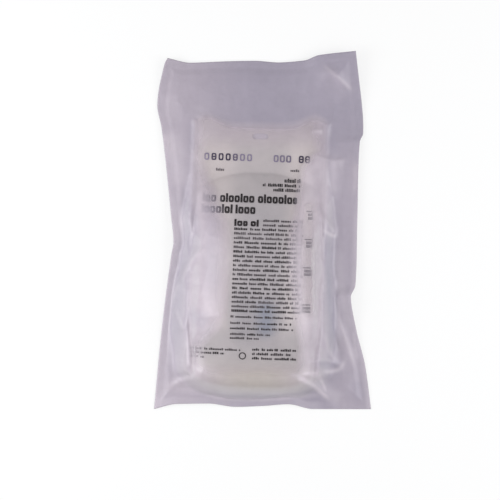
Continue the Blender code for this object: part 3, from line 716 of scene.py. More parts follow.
def along_path(x, y, path):
    """The signed distance of each point to a path of straight runs, above zero on its left, and how far
    along the path the nearest point lies, from 0 to 1."""
    points = np.asarray(path, float)
    runs = np.diff(points, axis=0)
    lengths = np.hypot(runs[:, 0], runs[:, 1])
    before = np.concatenate([[0.0], np.cumsum(lengths)[:-1]])
    nearest = np.full(np.shape(x), np.inf)
    signed = np.zeros(np.shape(x))
    place = np.zeros(np.shape(x))
    for (x0, y0), (run_x, run_y), length, start in zip(points[:-1], runs, lengths, before):
        part = np.clip(((x - x0) * run_x + (y - y0) * run_y) / length**2, 0.0, 1.0)
        off_x = x - x0 - part * run_x
        off_y = y - y0 - part * run_y
        gap = np.hypot(off_x, off_y)
        side = np.where(run_x * off_y - run_y * off_x < 0.0, -1.0, 1.0)
        closer = gap < nearest
        nearest = np.where(closer, gap, nearest)
        signed = np.where(closer, gap * side, signed)
        place = np.where(closer, start + part * length, place)
    return signed, place / lengths.sum()


def rounded_path(path, rounds=3):
    """The path with its corners cut at a quarter and three quarters of each run, a few times over."""
    points = np.asarray(path, float)
    for _ in range(rounds):
        near = 0.75 * points[:-1] + 0.25 * points[1:]
        far = 0.25 * points[:-1] + 0.75 * points[1:]
        middle = np.stack([near, far], axis=1).reshape(-1, 2)
        points = np.concatenate([points[:1], middle, points[-1:]])
    return points


def value_noise(x, y, cell, seed):
    """Smooth noise from -1 to 1: random values on a square lattice of the given cell, joined by S curves."""
    values = np.random.default_rng(seed).uniform(-1.0, 1.0, (64, 64))
    u = x / cell + 32.0
    v = y / cell + 32.0
    column = np.floor(u).astype(int)
    row = np.floor(v).astype(int)
    across = smooth_step(u - column, 0.0, 1.0)
    down = smooth_step(v - row, 0.0, 1.0)
    here = values[row % 64, column % 64] * (1.0 - across) + values[row % 64, (column + 1) % 64] * across
    below = (
        values[(row + 1) % 64, column % 64] * (1.0 - across)
        + values[(row + 1) % 64, (column + 1) % 64] * across
    )
    return here * (1.0 - down) + below * down


def smoothed(values, rounds):
    """A grid of values, each replaced by the weighted mean of itself and its neighbours, a few times."""
    for _ in range(rounds):
        padded = np.pad(values, 1, mode="edge")
        values = 0.25 * padded[:-2, 1:-1] + 0.5 * values + 0.25 * padded[2:, 1:-1]
        padded = np.pad(values, 1, mode="edge")
        values = 0.25 * padded[1:-1, :-2] + 0.5 * values + 0.25 * padded[1:-1, 2:]
    return values


# Meshes


def grid_faces(rows, columns, first=0):
    """The four-sided faces of a grid of vertices, row by row."""
    numbers = first + np.arange(rows * columns).reshape(rows, columns)
    corners = (numbers[:-1, :-1], numbers[1:, :-1], numbers[1:, 1:], numbers[:-1, 1:])
    return np.stack([corner.ravel() for corner in corners], axis=1)


def add_piece(name, points, faces, material, node=None):
    """One named mesh object with smooth shading, which rides on the part's one body."""
    mesh = bpy.data.meshes.new(name)
    mesh.from_pydata(np.asarray(points, float).reshape(-1, 3).tolist(), [], np.asarray(faces).tolist())
    mesh.materials.append(material)
    mesh.shade_smooth()
    piece = bpy.data.objects.new(name, mesh)
    bpy.context.collection.objects.link(piece)
    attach(piece, "root")
    if node:
        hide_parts(node)
    return piece


def give_thickness(piece, thickness):
    """Turns an open sheet into a closed one: its second face lies below the first by the thickness."""
    solid = piece.modifiers.new("thickness", "SOLIDIFY")
    solid.thickness = thickness
    solid.offset = -1.0
    solid.use_even_offset = False
    settle(piece)


def settle(piece):
    """Writes the piece's modifiers into its mesh."""
    shown = piece.evaluated_get(bpy.context.evaluated_depsgraph_get())
    mesh = bpy.data.meshes.new_from_object(shown)
    mesh.name = piece.name
    piece.modifiers.clear()
    piece.data = mesh


def add_attribute(piece, name, values):
    """Stores one number for each vertex under the given name, for the piece's material."""
    attribute = piece.data.attributes.new(name, "FLOAT", "POINT")
    attribute.data.foreach_set("value", np.asarray(values, np.float32).ravel())


def vertex_places(piece):
    """The x, y and z of all the piece's vertices."""
    flat = np.empty(3 * len(piece.data.vertices))
    piece.data.vertices.foreach_get("co", flat)
    return flat.reshape(-1, 3).T


def add_turned(name, profile, material, place, turn, sides, node):
    """A profile of (radius, place along the axis) turned once round its own Y axis."""
    profile = np.asarray(profile, float)
    angles = np.linspace(0.0, 2.0 * math.pi, sides, endpoint=False)
    radius = profile[:, 0][:, None]
    along = np.broadcast_to(profile[:, 1][:, None], (len(profile), sides))
    x = radius * np.sin(angles)
    z = radius * np.cos(angles)
    world_x = place[0] + x * math.cos(turn) - along * math.sin(turn)
    world_y = place[1] + x * math.sin(turn) + along * math.cos(turn)
    points = np.stack([world_x, world_y, place[2] + z], axis=2).reshape(-1, 3)
    numbers = np.arange(len(profile) * sides).reshape(len(profile), sides)
    following = np.roll(numbers, -1, axis=1)
    corners = (numbers[:-1], following[:-1], following[1:], numbers[1:])
    faces = np.stack([corner.ravel() for corner in corners], axis=1)
    piece = add_piece(name, points, faces, material, node)
    merge_doubles(piece)
    return piece


def merge_doubles(piece):
    """Merges the vertices that a turned profile leaves on its axis and where it closes."""
    mesh = bmesh.new()
    mesh.from_mesh(piece.data)
    bmesh.ops.remove_doubles(mesh, verts=mesh.verts, dist=1e-7)
    bmesh.ops.dissolve_degenerate(mesh, dist=1e-7, edges=mesh.edges)
    bmesh.ops.recalc_face_normals(mesh, faces=mesh.faces)
    mesh.to_mesh(piece.data)
    mesh.free()
    piece.data.shade_smooth()
    piece.data.set_sharp_from_angle(angle=math.radians(40.0))


def ring_profile(inner, outer, low, high):
    """A plain ring's profile, or a disc's where the inner radius is 0."""
    return (inner, low), (outer, low), (outer, high), (inner, high)


def eased(profile, radius=0.25 * MM, steps=4):
    """The closed profile with each of its corners off the axis rounded by a small curve."""
    points = np.asarray(profile, float)
    closed = points[0][0] > 0.0
    result = []
    count = len(points)
    for number, point in enumerate(points):
        if not closed and number in (0, count - 1):
            result.append(point)
            continue
        before = points[number - 1]
        after = points[(number + 1) % count]
        to_before = before - point
        to_after = after - point
        reach_before = min(radius, 0.45 * np.linalg.norm(to_before)) / np.linalg.norm(to_before)
        reach_after = min(radius, 0.45 * np.linalg.norm(to_after)) / np.linalg.norm(to_after)
        start = point + to_before * reach_before
        end = point + to_after * reach_after
        for t in np.linspace(0.0, 1.0, steps):
            result.append(start * (1.0 - t) ** 2 + point * 2.0 * t * (1.0 - t) + end * t**2)
    if closed:
        result.append(result[0])
    return np.array(result)


# Materials


class Shading:
    """The node tree of one material or of the world, with short ways to add and link its nodes."""

    def __init__(self, owner):
        self.owner = owner
        owner.use_nodes = True
        self.tree = owner.node_tree
        self.tree.nodes.clear()
        self.place = 0

    def add(self, kind, inputs=(), **settings):
        """A node of one kind; inputs are pairs of a socket and a value or another node's socket."""
        node = self.tree.nodes.new("ShaderNode" + kind)
        node.location = (self.place, 0)
        self.place += NODE_SPACING
        for key, value in settings.items():
            setattr(node, key, value)
        for socket, value in inputs:
            self.set(node.inputs[socket], value)
        return node

    def set(self, socket, value):
        """Links another node's socket, or sets a number or colour."""
        if isinstance(value, bpy.types.NodeSocket):
            self.tree.links.new(value, socket)
        elif socket.type == "RGBA" and len(value) == 3:
            socket.default_value = (*value, 1.0)
        else:
            socket.default_value = value

    def math(self, operation, first, second=0.0):
        """Two numbers joined by one operation."""
        return self.add("Math", ((0, first), (1, second)), operation=operation).outputs[0]

    def attribute(self, name):
        """A number that the piece stores for each vertex."""
        return self.add("Attribute", attribute_name=name).outputs["Fac"]

    def between(self, share, low, high):
        """low where share is 0, high where it is 1, and never outside them."""
        return self.add("MapRange", (("Value", share), ("To Min", low), ("To Max", high))).outputs["Result"]

    def mix(self, share, first, second, blend="MIX", clamp=True):
        """A colour between two colours, or a little past them where the share isn't clamped."""
        node = self.add("Mix", data_type="RGBA", blend_type=blend, clamp_factor=clamp)
        for number, value in ((0, share), (6, first), (7, second)):
            self.set(node.inputs[number], value)
        return node.outputs[2]

    def noise(self, scale, detail, roughness, stretch=(1.0, 1.0, 1.0), turn=0.0):
        """Noise on the object's own metres, from 0 to 1, stretched and turned where wanted."""
        place = self.add("TexCoord").outputs["Object"]
        if stretch != (1.0, 1.0, 1.0) or turn:
            inputs = (("Vector", place), ("Scale", stretch), ("Rotation", (0.0, 0.0, turn)))
            place = self.add("Mapping", inputs).outputs["Vector"]
        inputs = (("Vector", place), ("Scale", scale), ("Detail", detail), ("Roughness", roughness))
        return self.add("TexNoise", inputs).outputs["Fac"]

    def tinted(self, tone, texture, spread):
        """The tone, darker by the spread where the texture is 0 and paler by it where the texture is 1."""
        tint = self.between(texture, 1.0 - spread, 1.0 + spread)
        grey = self.add("CombineColor", ((0, tint), (1, tint), (2, tint))).outputs[0]
        return self.mix(1.0, tone, grey, "MULTIPLY")

    def bump(self, height, strength, distance):
        """Fine relief that is in the material alone."""
        inputs = (("Height", height), ("Strength", strength), ("Distance", distance))
        return self.add("Bump", inputs).outputs["Normal"]

    def surface(self, *inputs):
        """A Principled surface with these pairs of a socket and a value."""
        return self.add("BsdfPrincipled", inputs).outputs[0]

    def finish(self, shader, output="OutputMaterial"):
        """Links the shader to the output and returns the finished material or world."""
        self.add(output, (("Surface", shader),))
        return self.owner


def film_material(pouch, name, front):
    """Frosted film: lavender and cloudy where it stands free, clearer where it lies on the bag, with faint
    streaks of the roll, fine mottling and a soft gloss. Its colour holds painted light: it is painted paler
    over the bag, where it is lifted, towards its left and lower right and along folds, with painted
    highlights on fold crests, in bands and along its rim, and painted shade in grey bands. It scatters light
    forward, so the front film's shadow is much thinner than its cloudiness."""
    shade = Shading(bpy.data.materials.new(name))
    mottle = shade.noise(160.0, detail=3.0, roughness=0.55)
    streaks = shade.noise(30.0, detail=3.0, roughness=0.6, stretch=(5.0, 0.6, 1.0), turn=math.radians(8.0))
    haze = shade.attribute("haze")
    if front:
        unrest = shade.math("MULTIPLY", shade.math("SUBTRACT", mottle, 0.5), HAZE_UNREST)
        cover = shade.between(shade.math("ADD", haze, unrest), pouch.clear, pouch.hazy)
        passed = shade.math("MULTIPLY", shade.add("LightPath").outputs["Is Shadow Ray"], SHADOW_PASSED)
        cover = shade.math("MULTIPLY", cover, shade.math("SUBTRACT", 1.0, passed))
    else:
        cover = shade.between(mottle, *BACK_FILM_COVER)
    # Painted light makes the tone paler, painted shade greys it, and painted highlights whiten it
    tone = shade.mix(shade.attribute("painted_light"), pouch.colour, pouch.painted_lit_colour, clamp=False)
    tone = shade.mix(shade.attribute("cream"), tone, pouch.cream_colour)
    tone = shade.mix(shade.attribute("painted_highlight"), tone, pouch.painted_highlight_colour)
    halves = (shade.math("MULTIPLY", texture, 0.5) for texture in (mottle, streaks))
    colour = shade.tinted(tone, shade.math("ADD", *halves), spread=0.10)
    fine = shade.math("MULTIPLY", shade.noise(900.0, detail=2.0, roughness=0.6), 0.5)
    relief = shade.bump(shade.math("ADD", fine, streaks), strength=0.25, distance=0.4 * MM)
    film = shade.surface(
        ("Base Color", colour),
        ("Roughness", 0.42),
        ("Specular IOR Level", 0.45),
        ("Alpha", cover),
        ("Normal", relief),
    )
    gloss = shade.add("BsdfGlossy", (("Color", WHITE), ("Roughness", 0.36), ("Normal", relief)))
    edge = shade.add("Fresnel", (("IOR", FILM_INDEX), ("Normal", relief))).outputs[0]
    share = shade.math("MULTIPLY", edge, shade.between(haze, 0.12, 1.0))
    skin = shade.add("MixShader", ((0, share), (1, film), (2, gloss.outputs[0])))
    return shade.finish(skin.outputs[0])


def vinyl_material(bag, cover_colour, name):
    """Soft translucent vinyl: cream at the flap and edges, greyer over clear solution, where shade is
    painted, tinted where the coloured port cover lies close behind, with a faint mottling and a soft shine."""
    shade = Shading(bpy.data.materials.new(name))
    mottle = shade.noise(70.0, detail=3.0, roughness=0.55)
    fine = shade.noise(700.0, detail=2.0, roughness=0.5)
    tone = shade.mix(shade.attribute("doubled"), bag.colour, bag.doubled_colour)
    # Painted shade over the clear solution
    tone = shade.mix(shade.attribute("depth"), tone, bag.fluid_shade_colour)
    veiled = tuple(VEIL_PASSED * part + VEIL_ADDED for part in cover_colour)
    tone = shade.mix(shade.attribute("cover_behind"), tone, veiled)
    vinyl = shade.surface(
        ("Base Color", shade.tinted(tone, mottle, spread=0.07)),
        ("Roughness", 0.34),
        ("Alpha", shade.between(mottle, *VINYL_COVER)),
        ("Normal", shade.bump(fine, strength=0.15, distance=0.2 * MM)),
    )
    return shade.finish(vinyl)


def solution_material(bag):
    """Clear solution with a watery shine, and a very faint cloud so that its body shows."""
    shade = Shading(bpy.data.materials.new("clear_solution"))
    cloud = shade.noise(25.0, detail=2.0, roughness=0.5)
    water = shade.surface(
        ("Base Color", bag.solution),
        ("Roughness", 0.04),
        ("IOR", WATER_INDEX),
        ("Alpha", shade.between(cloud, *SOLUTION_COVER)),
    )
    return shade.finish(water)


def ink_material(settings):
    """Flat ink: near black where the marks are bold, greyer where they are thin, violet on the stamp,
    a little uneven as transferred ink is."""
    shade = Shading(bpy.data.materials.new("print_ink"))
    worn = shade.math("SUBTRACT", shade.noise(600.0, detail=3.0, roughness=0.6), 0.5)
    weight = shade.math("ADD", shade.attribute("weight"), shade.math("MULTIPLY", worn, INK_WEAR))
    tone = shade.mix(weight, settings.faint_ink, settings.ink)
    stamped = shade.mix(weight, settings.faint_stamp, settings.stamp)
    colour = shade.mix(shade.attribute("stamp"), tone, stamped)
    ink = shade.surface(("Base Color", colour), ("Roughness", 0.6), ("Specular IOR Level", 0.15))
    return shade.finish(ink)


def plastic_material(name, colour, roughness, grain, depth):
    """A moulded material in one colour with a fine grain in its shine, colour and relief."""
    shade = Shading(bpy.data.materials.new(name))
    texture = shade.noise(grain, detail=3.0, roughness=0.55)
    surface = shade.surface(
        ("Base Color", shade.tinted(colour, texture, spread=0.08)),
        ("Roughness", shade.between(texture, roughness - 0.06, roughness + 0.06)),
        ("Normal", shade.bump(texture, strength=0.2, distance=depth)),
    )
    return shade.finish(surface)


# Inner bag


def bag_to_world(across, down, height):
    """Places a point of the bag's own frame: across from its middle, down from its top edge."""
    up = BAG_TOP_Y - down
    x = BAG_CENTRE_X + across * math.cos(BAG_TURN) - up * math.sin(BAG_TURN)
    y = across * math.sin(BAG_TURN) + up * math.cos(BAG_TURN)
    return np.stack(np.broadcast_arrays(x, y, height), axis=-1)


def world_to_bag(x, y):
    """The bag's own across and down of points seen from above."""
    off = x - BAG_CENTRE_X
    across = off * math.cos(BAG_TURN) + y * math.sin(BAG_TURN)
    up = -off * math.sin(BAG_TURN) + y * math.cos(BAG_TURN)
    return across, BAG_TOP_Y - up


def port_axis_height():
    """The ports lie on the back film, on the cover's lip, which is their widest part."""
    return FILM_THICKNESS + CONTACT_GAP + COVER_LIP_RADIUS


class BagForm:
    """The filled bag's shape.

    Across the chamber, the front bulges from its welds by (1 - share squared) to a power, and the back by
    1 - share to the fourth. Down the bag, the flap is flat, the pillow rises as a quarter of a sine wave
    to its crown, and the end turns under as half an ellipse into the folded tail.
    """

    def __init__(self, settings):
        self.half_width = 0.5 * settings.width
        self.half = self.half_width - WELD_WIDTH
        self.length = settings.length
        self.crown = settings.crown
        self.stack = SHEET_THICKNESS + 0.5 * CONTACT_GAP
        self.floor = FILM_THICKNESS + CONTACT_GAP
        self.tail_seam = port_axis_height()
        self.tail_end = self.length - TAIL_LENGTH

    def lifted(self, down):
        """0 where the bag lies on the film, 1 where it lies on its own folded tail and ports."""
        cover_end = self.tail_end - CONTACT_GAP - OUTLET_RING_PLACE - OUTLET_RING_WIDTH - COVER_LENGTH
        above = cover_end - LIFT_AHEAD
        return smooth_step(down, above - LIFT_RUN, above)

    def seam(self, down):
        """The height of the middle of the side welds."""
        lowest = self.floor + self.stack
        risen = smooth_step(down, SEAM_RISE_START, SEAM_RISE_END)
        return lowest + (SEAM_HEIGHT - lowest) * risen + LIFTED_SEAM_RISE * self.lifted(down)

    def flap_edge(self, across):
        """How far down the top edge lies: an ear rises as a bell curve on each side."""
        ear = np.exp(-(((np.abs(across) - 0.5 * EAR_SPACING) / EAR_WIDTH) ** 2))
        return EAR_HEIGHT * (1.0 - ear)

    def chamber_start(self, share):
        """How far down the chamber begins: its shoulders drop as a power of the share across."""
        return FLAP_LENGTH + SHOULDER_DROP * np.abs(share) ** SHOULDER_POWER

    def nose(self, across, share):
        """Where the end starts to turn under, and how far it reaches from there."""
        end = self.length - NOSE_CORNER * np.abs(across / self.half_width) ** 4
        reach = NOSE_REACH - NOSE_SIDE_LOSS * share**2
        return end - reach, reach

    def pillow(self, down, grown, share):
        """The heights of the front and the back of the pillow, with small puckers along the welds."""
        seam = self.seam(down)
        crown = self.crown - CROWN_FALL * smooth_step(grown, CROWN_END, 1.0)
        under = self.tail_seam + COVER_LIP_RADIUS + CONTACT_GAP + FOLD_SLACK
        under = self.floor + (under - self.floor) * self.lifted(down)
        risen = np.clip(grown / CROWN_START, 0.0, 1.0)
        dome = np.sin(0.5 * math.pi * risen) ** DOME_POWER
        belly = np.sin(0.5 * math.pi * np.clip(2.0 * grown / CROWN_START, 0.0, 1.0))
        bulge = np.clip(1.0 - share**2, 0.0, 1.0) ** BULGE_POWER
        front = seam + self.stack + (crown - seam - self.stack) * bulge * dome
        back = seam - self.stack - (seam - self.stack - under) * (1.0 - share**4) * belly
        pucker = smooth_step(np.abs(share), 0.80, 0.95) * smooth_fall(np.abs(share), 0.97, 1.0)
        wander = 2.5 * np.sin(down / (9.0 * MM)) + 3.0 * np.sign(share)
        ripple = 0.5 + 0.5 * np.sin(down / (1.45 * MM) + wander)
        fade = smooth_step(grown, 0.05, 0.2) * smooth_fall(grown, 0.85, 1.0)
        return front - PUCKER_HEIGHT * pucker * ripple**2 * fade, back

    def tail_faces(self, full):
        """The heights of the folded tail's two outer faces, from 0 at its welds to 1 where it is full."""
        low = self.tail_seam - self.stack
        high = self.tail_seam + self.stack
        top = 2.0 * self.tail_seam - self.floor - TAIL_SLACK
        return low - (low - self.floor) * full, high + (top - high) * full

    def surfaces(self, columns, flap, pillow, nose, tail):
        """The outer faces of the front and back sheets, as two grids of points: flap, pillow and tail
        are shares down each stretch, and nose holds angles from 0 to half a turn."""
        share = np.concatenate([[-1.0], columns, [1.0]])[None, :]
        weld = np.zeros(share.shape)
        weld[0, 0] = -WELD_WIDTH
        weld[0, -1] = WELD_WIDTH
        across = share * self.half + weld
        top = self.flap_edge(across)
        chamber = self.chamber_start(share)
        nose_start, reach = self.nose(across, share)
        narrowest = 1.0 - NOSE_NARROWING / self.half_width
        fronts = []
        backs = []

        part = flap[:-1, None]
        down = top + (chamber - top) * part
        fronts.append(bag_to_world(across, down, self.seam(down) + self.stack))
        backs.append(bag_to_world(across, down, self.seam(down) - self.stack))

        part = pillow[:, None]
        down = chamber + (nose_start - chamber) * part
        front, back = self.pillow(down, part, share)
        width = 1.0 - (1.0 - narrowest) * smooth_step(part, NOSE_NARROWING_START, 1.0)
        fronts.append(bag_to_world(across * width, down, front))
        backs.append(bag_to_world(across * width, down, back))

        flat = 1.0 - share**4
        front_low, back_low = self.tail_faces(flat)
        edge = np.abs(share) ** 4
        back_reach = INNER_FOLD_REACH * (1.0 - edge) + (reach - 2.0 * self.stack) * edge
        angle = nose[1:, None]
        fall = 0.5 - 0.5 * np.cos(angle)
        swing = np.sin(angle)
        turned = front[-1] + (front_low - front[-1]) * fall
        fronts.append(bag_to_world(across * narrowest, nose_start + reach * swing, turned))
        turned = back[-1] + (back_low - back[-1]) * fall
        backs.append(bag_to_world(across * narrowest, nose_start + back_reach * swing, turned))

        part = tail[1:, None]
        tail_narrowest = narrowest - TAIL_NARROWING / self.half_width
        down = nose_start + (self.tail_end + WELD_WIDTH - nose_start) * part
        thinned = np.sqrt(np.clip(1.0 - part**2, 0.0, 1.0)) * flat
        width = narrowest + (tail_narrowest - narrowest) * part
        low, high = self.tail_faces(thinned)
        fronts.append(bag_to_world(across * width, down, low))
        backs.append(bag_to_world(across * width, down, high))
        end = np.full(across.shape, self.tail_end)
        fronts.append(bag_to_world(across * tail_narrowest, end, self.tail_seam - self.stack))
        backs.append(bag_to_world(across * tail_narrowest, end, self.tail_seam + self.stack))
        return np.concatenate(fronts), np.concatenate(backs)

    def fine_surfaces(self):
        """Both outer faces, with columns that lie closer together towards the welds."""
        even = np.linspace(-1.0, 1.0, SHEET_COLUMNS)
        return self.surfaces(
            0.5 * np.sin(0.5 * math.pi * even) + 0.5 * even,
            np.linspace(0.0, 1.0, FLAP_ROWS),
            np.linspace(0.0, 1.0, PILLOW_ROWS) ** 1.1,
            np.linspace(0.0, math.pi, NOSE_ROWS),
            np.linspace(0.0, 1.0, TAIL_ROWS),
        )

    def front_height(self, across, down):
        """The height of the bag's front face above a point of its flap or pillow."""
        share = np.clip(across / self.half, -1.0, 1.0)
        chamber = self.chamber_start(share)
        nose_start, reach = self.nose(across, share)
        grown = np.clip((down - chamber) / (nose_start - chamber), 0.0, 1.0)
        front, _ = self.pillow(np.minimum(down, nose_start), grown, share)
        low, _ = self.tail_faces(1.0 - share**4)
        swing = np.clip((down - nose_start) / reach, 0.0, 1.0)
        front = front + (low - front) * (0.5 - 0.5 * np.sqrt(1.0 - swing**2))
        return np.where(down < chamber, self.seam(down) + self.stack, front)

    def inside(self, across, down):
        """How far inside the bag's outline a point lies, seen from above; below zero outside."""
        side = self.half_width - np.abs(across)
        top = down - self.flap_edge(across)
        corner = NOSE_CORNER * np.clip(np.abs(across) / self.half_width, 0.0, 1.2) ** 4
        return np.minimum(np.minimum(side, top), self.length - corner - down)


def cut_hanger_slot(sheet):
    """Cuts the round-ended hanger slot through a sheet of the flap."""
    radius = 0.5 * HANGER_SLOT_WIDTH
    middle = 0.5 * HANGER_SLOT_LENGTH - radius
    angles = np.linspace(0.0, math.pi, 13)
    right = np.stack([middle + radius * np.sin(angles), radius * np.cos(angles)], axis=1)
    outline = np.concatenate([right, -right])
    count = len(outline)
    levels = [
        bag_to_world(outline[:, 0], HANGER_SLOT_DROP - outline[:, 1], height)
        for height in (-5.0 * MM, 5.0 * MM)
    ]
    faces = [list(range(count)), list(range(2 * count - 1, count - 1, -1))]
    for corner in range(count):
        following = (corner + 1) % count
        faces.append([following, corner, corner + count, following + count])
    mesh = bpy.data.meshes.new("slot_cutter")
    mesh.from_pydata(np.concatenate(levels).tolist(), [], faces)
    cutter = bpy.data.objects.new("slot_cutter", mesh)
    bpy.context.collection.objects.link(cutter)
    cut = sheet.modifiers.new("hanger_slot", "BOOLEAN")
    cut.operation = "DIFFERENCE"
    cut.solver = "EXACT"
    cut.object = cutter
    settle(sheet)
    bpy.data.objects.remove(cutter)


def add_bag_attributes(sheet, form):
    """Where clear solution lies deep behind the vinyl, which is painted shade, where the tail doubles it, and
    where the port cover lies close behind it."""
    x, y, _ = vertex_places(sheet)
    across, down = world_to_bag(x, y)

    def near(middle, reach, power):
        """1 at a place across the bag, falling to nothing on either side of it."""
        return np.exp(-((np.abs(across - middle * MM) / (reach * MM)) ** power))

    def grows(low, high):
        """0 above one place down the bag and 1 below the other."""
        return smooth_step(down, low * MM, high * MM)

    def fades(low, high):
        """1 above one place down the bag and 0 below the other."""
        return smooth_fall(down, low * MM, high * MM)

    # Painted shade: the vinyl is darkened over the chamber, more in its lower middle and towards the lower
    # end
    middle = np.where(across > FLUID_SHADE_MIDDLE * MM, near(FLUID_SHADE_MIDDLE, 19.5, 6), near(FLUID_SHADE_MIDDLE, 27.0, 6))
    filled = 0.6 * grows(8.0, 29.0) + 0.4 * grows(50.0, 78.0)
    low_middle = near(-14.0, 20.0, 4) * grows(125.0, 150.0) * fades(166.0, 177.0)
    fluid_shade = middle * filled * (0.76 + 0.24 * low_middle) * fades(176.0, 194.0)
    level = grows(150.0, 172.0) * (0.60 - 0.32 * grows(182.0, 200.0))
    add_attribute(sheet, "depth", np.maximum(fluid_shade, level) * (np.abs(across) < form.half))
    add_attribute(sheet, "doubled", near(0.0, 36.0, 2) * grows(172.0, 202.0))

    low, high = (np.array(corner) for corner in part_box("port_cover"))
    middle_x, middle_y = 0.5 * (low + high)[:2] + np.array(COVER_TINT_SHIFT)
    width, length = (high - low)[:2]
    off_y = np.maximum(np.abs(y - middle_y) - 0.5 * (length - width), 0.0)
    gap = np.hypot(x - middle_x, off_y)
    tint = COVER_TINT * smooth_fall(gap, 0.5 * MM, COVER_TINT_REACH)
    add_attribute(sheet, "cover_behind", tint)


class BAG_OT_bag(bpy.types.Operator):
    """Build the bag's front and back sheets and the solution between them"""

    bl_idname = "infusion_bag.bag"
    bl_label = "Bag and Solution"

    def execute(self, context):
        settings = context.scene.infusion_bag
        form = BagForm(settings)
        front, back = form.fine_surfaces()
        faces = grid_faces(*front.shape[:2])
        cover = context.scene.infusion_ports.cover_colour
        for name, node, points, outward in (
            ("bag_front", "bag_front_sheet", front, faces),
            ("bag_back", "bag_back_sheet", back, faces[:, ::-1]),
        ):
            vinyl = vinyl_material(settings, cover, name + "_vinyl")
            sheet = add_piece(name, points, outward, vinyl, node)
            finish_sheet(sheet, form)

        points, faces = solution_surface(front, back)
        clear = solution_material(settings)
        add_piece("solution", points, faces, clear, "saline_solution")
        return {"FINISHED"}


def solution_surface(front, back):
    """The solution's closed surface: both sheets' outer faces moved inwards along their normals by the
    sheet and the gap, and joined at their rims, halfway between the two."""
    inset = SHEET_THICKNESS + CONTACT_GAP
    kept = (slice(FLAP_ROWS - 1, -1), slice(1, -1))
    upper = (front - inset * grid_normals(front))[kept]
    lower = (back + inset * grid_normals(back))[kept]
    middle = 0.5 * (upper + lower)
    for line in ((0, slice(None)), (-1, slice(None)), (slice(None), 0), (slice(None), -1)):
        upper[line] = middle[line]
    rows, columns = upper.shape[:2]
    count = rows * columns
    below = np.arange(count).reshape(rows, columns)
    below[1:-1, 1:-1] = count + np.arange((rows - 2) * (columns - 2)).reshape(rows - 2, columns - 2)
    faces = grid_faces(rows, columns)
    turned = below.ravel()[faces][:, ::-1]
    points = np.concatenate([upper.reshape(-1, 3), lower[1:-1, 1:-1].reshape(-1, 3)])
    return points, np.concatenate([faces, turned])


def finish_sheet(sheet, form):
    """Gives one sheet of the bag its thickness, its hanger slot and what its material reads."""
    give_thickness(sheet, SHEET_THICKNESS)
    cut_hanger_slot(sheet)
    add_bag_attributes(sheet, form)


def grid_normals(points):
    """The unit normal at each point of a grid, from its neighbours along rows and columns."""
    normals = np.cross(np.gradient(points, axis=0), np.gradient(points, axis=1))
    return normals / np.linalg.norm(normals, axis=2, keepdims=True)


# Print


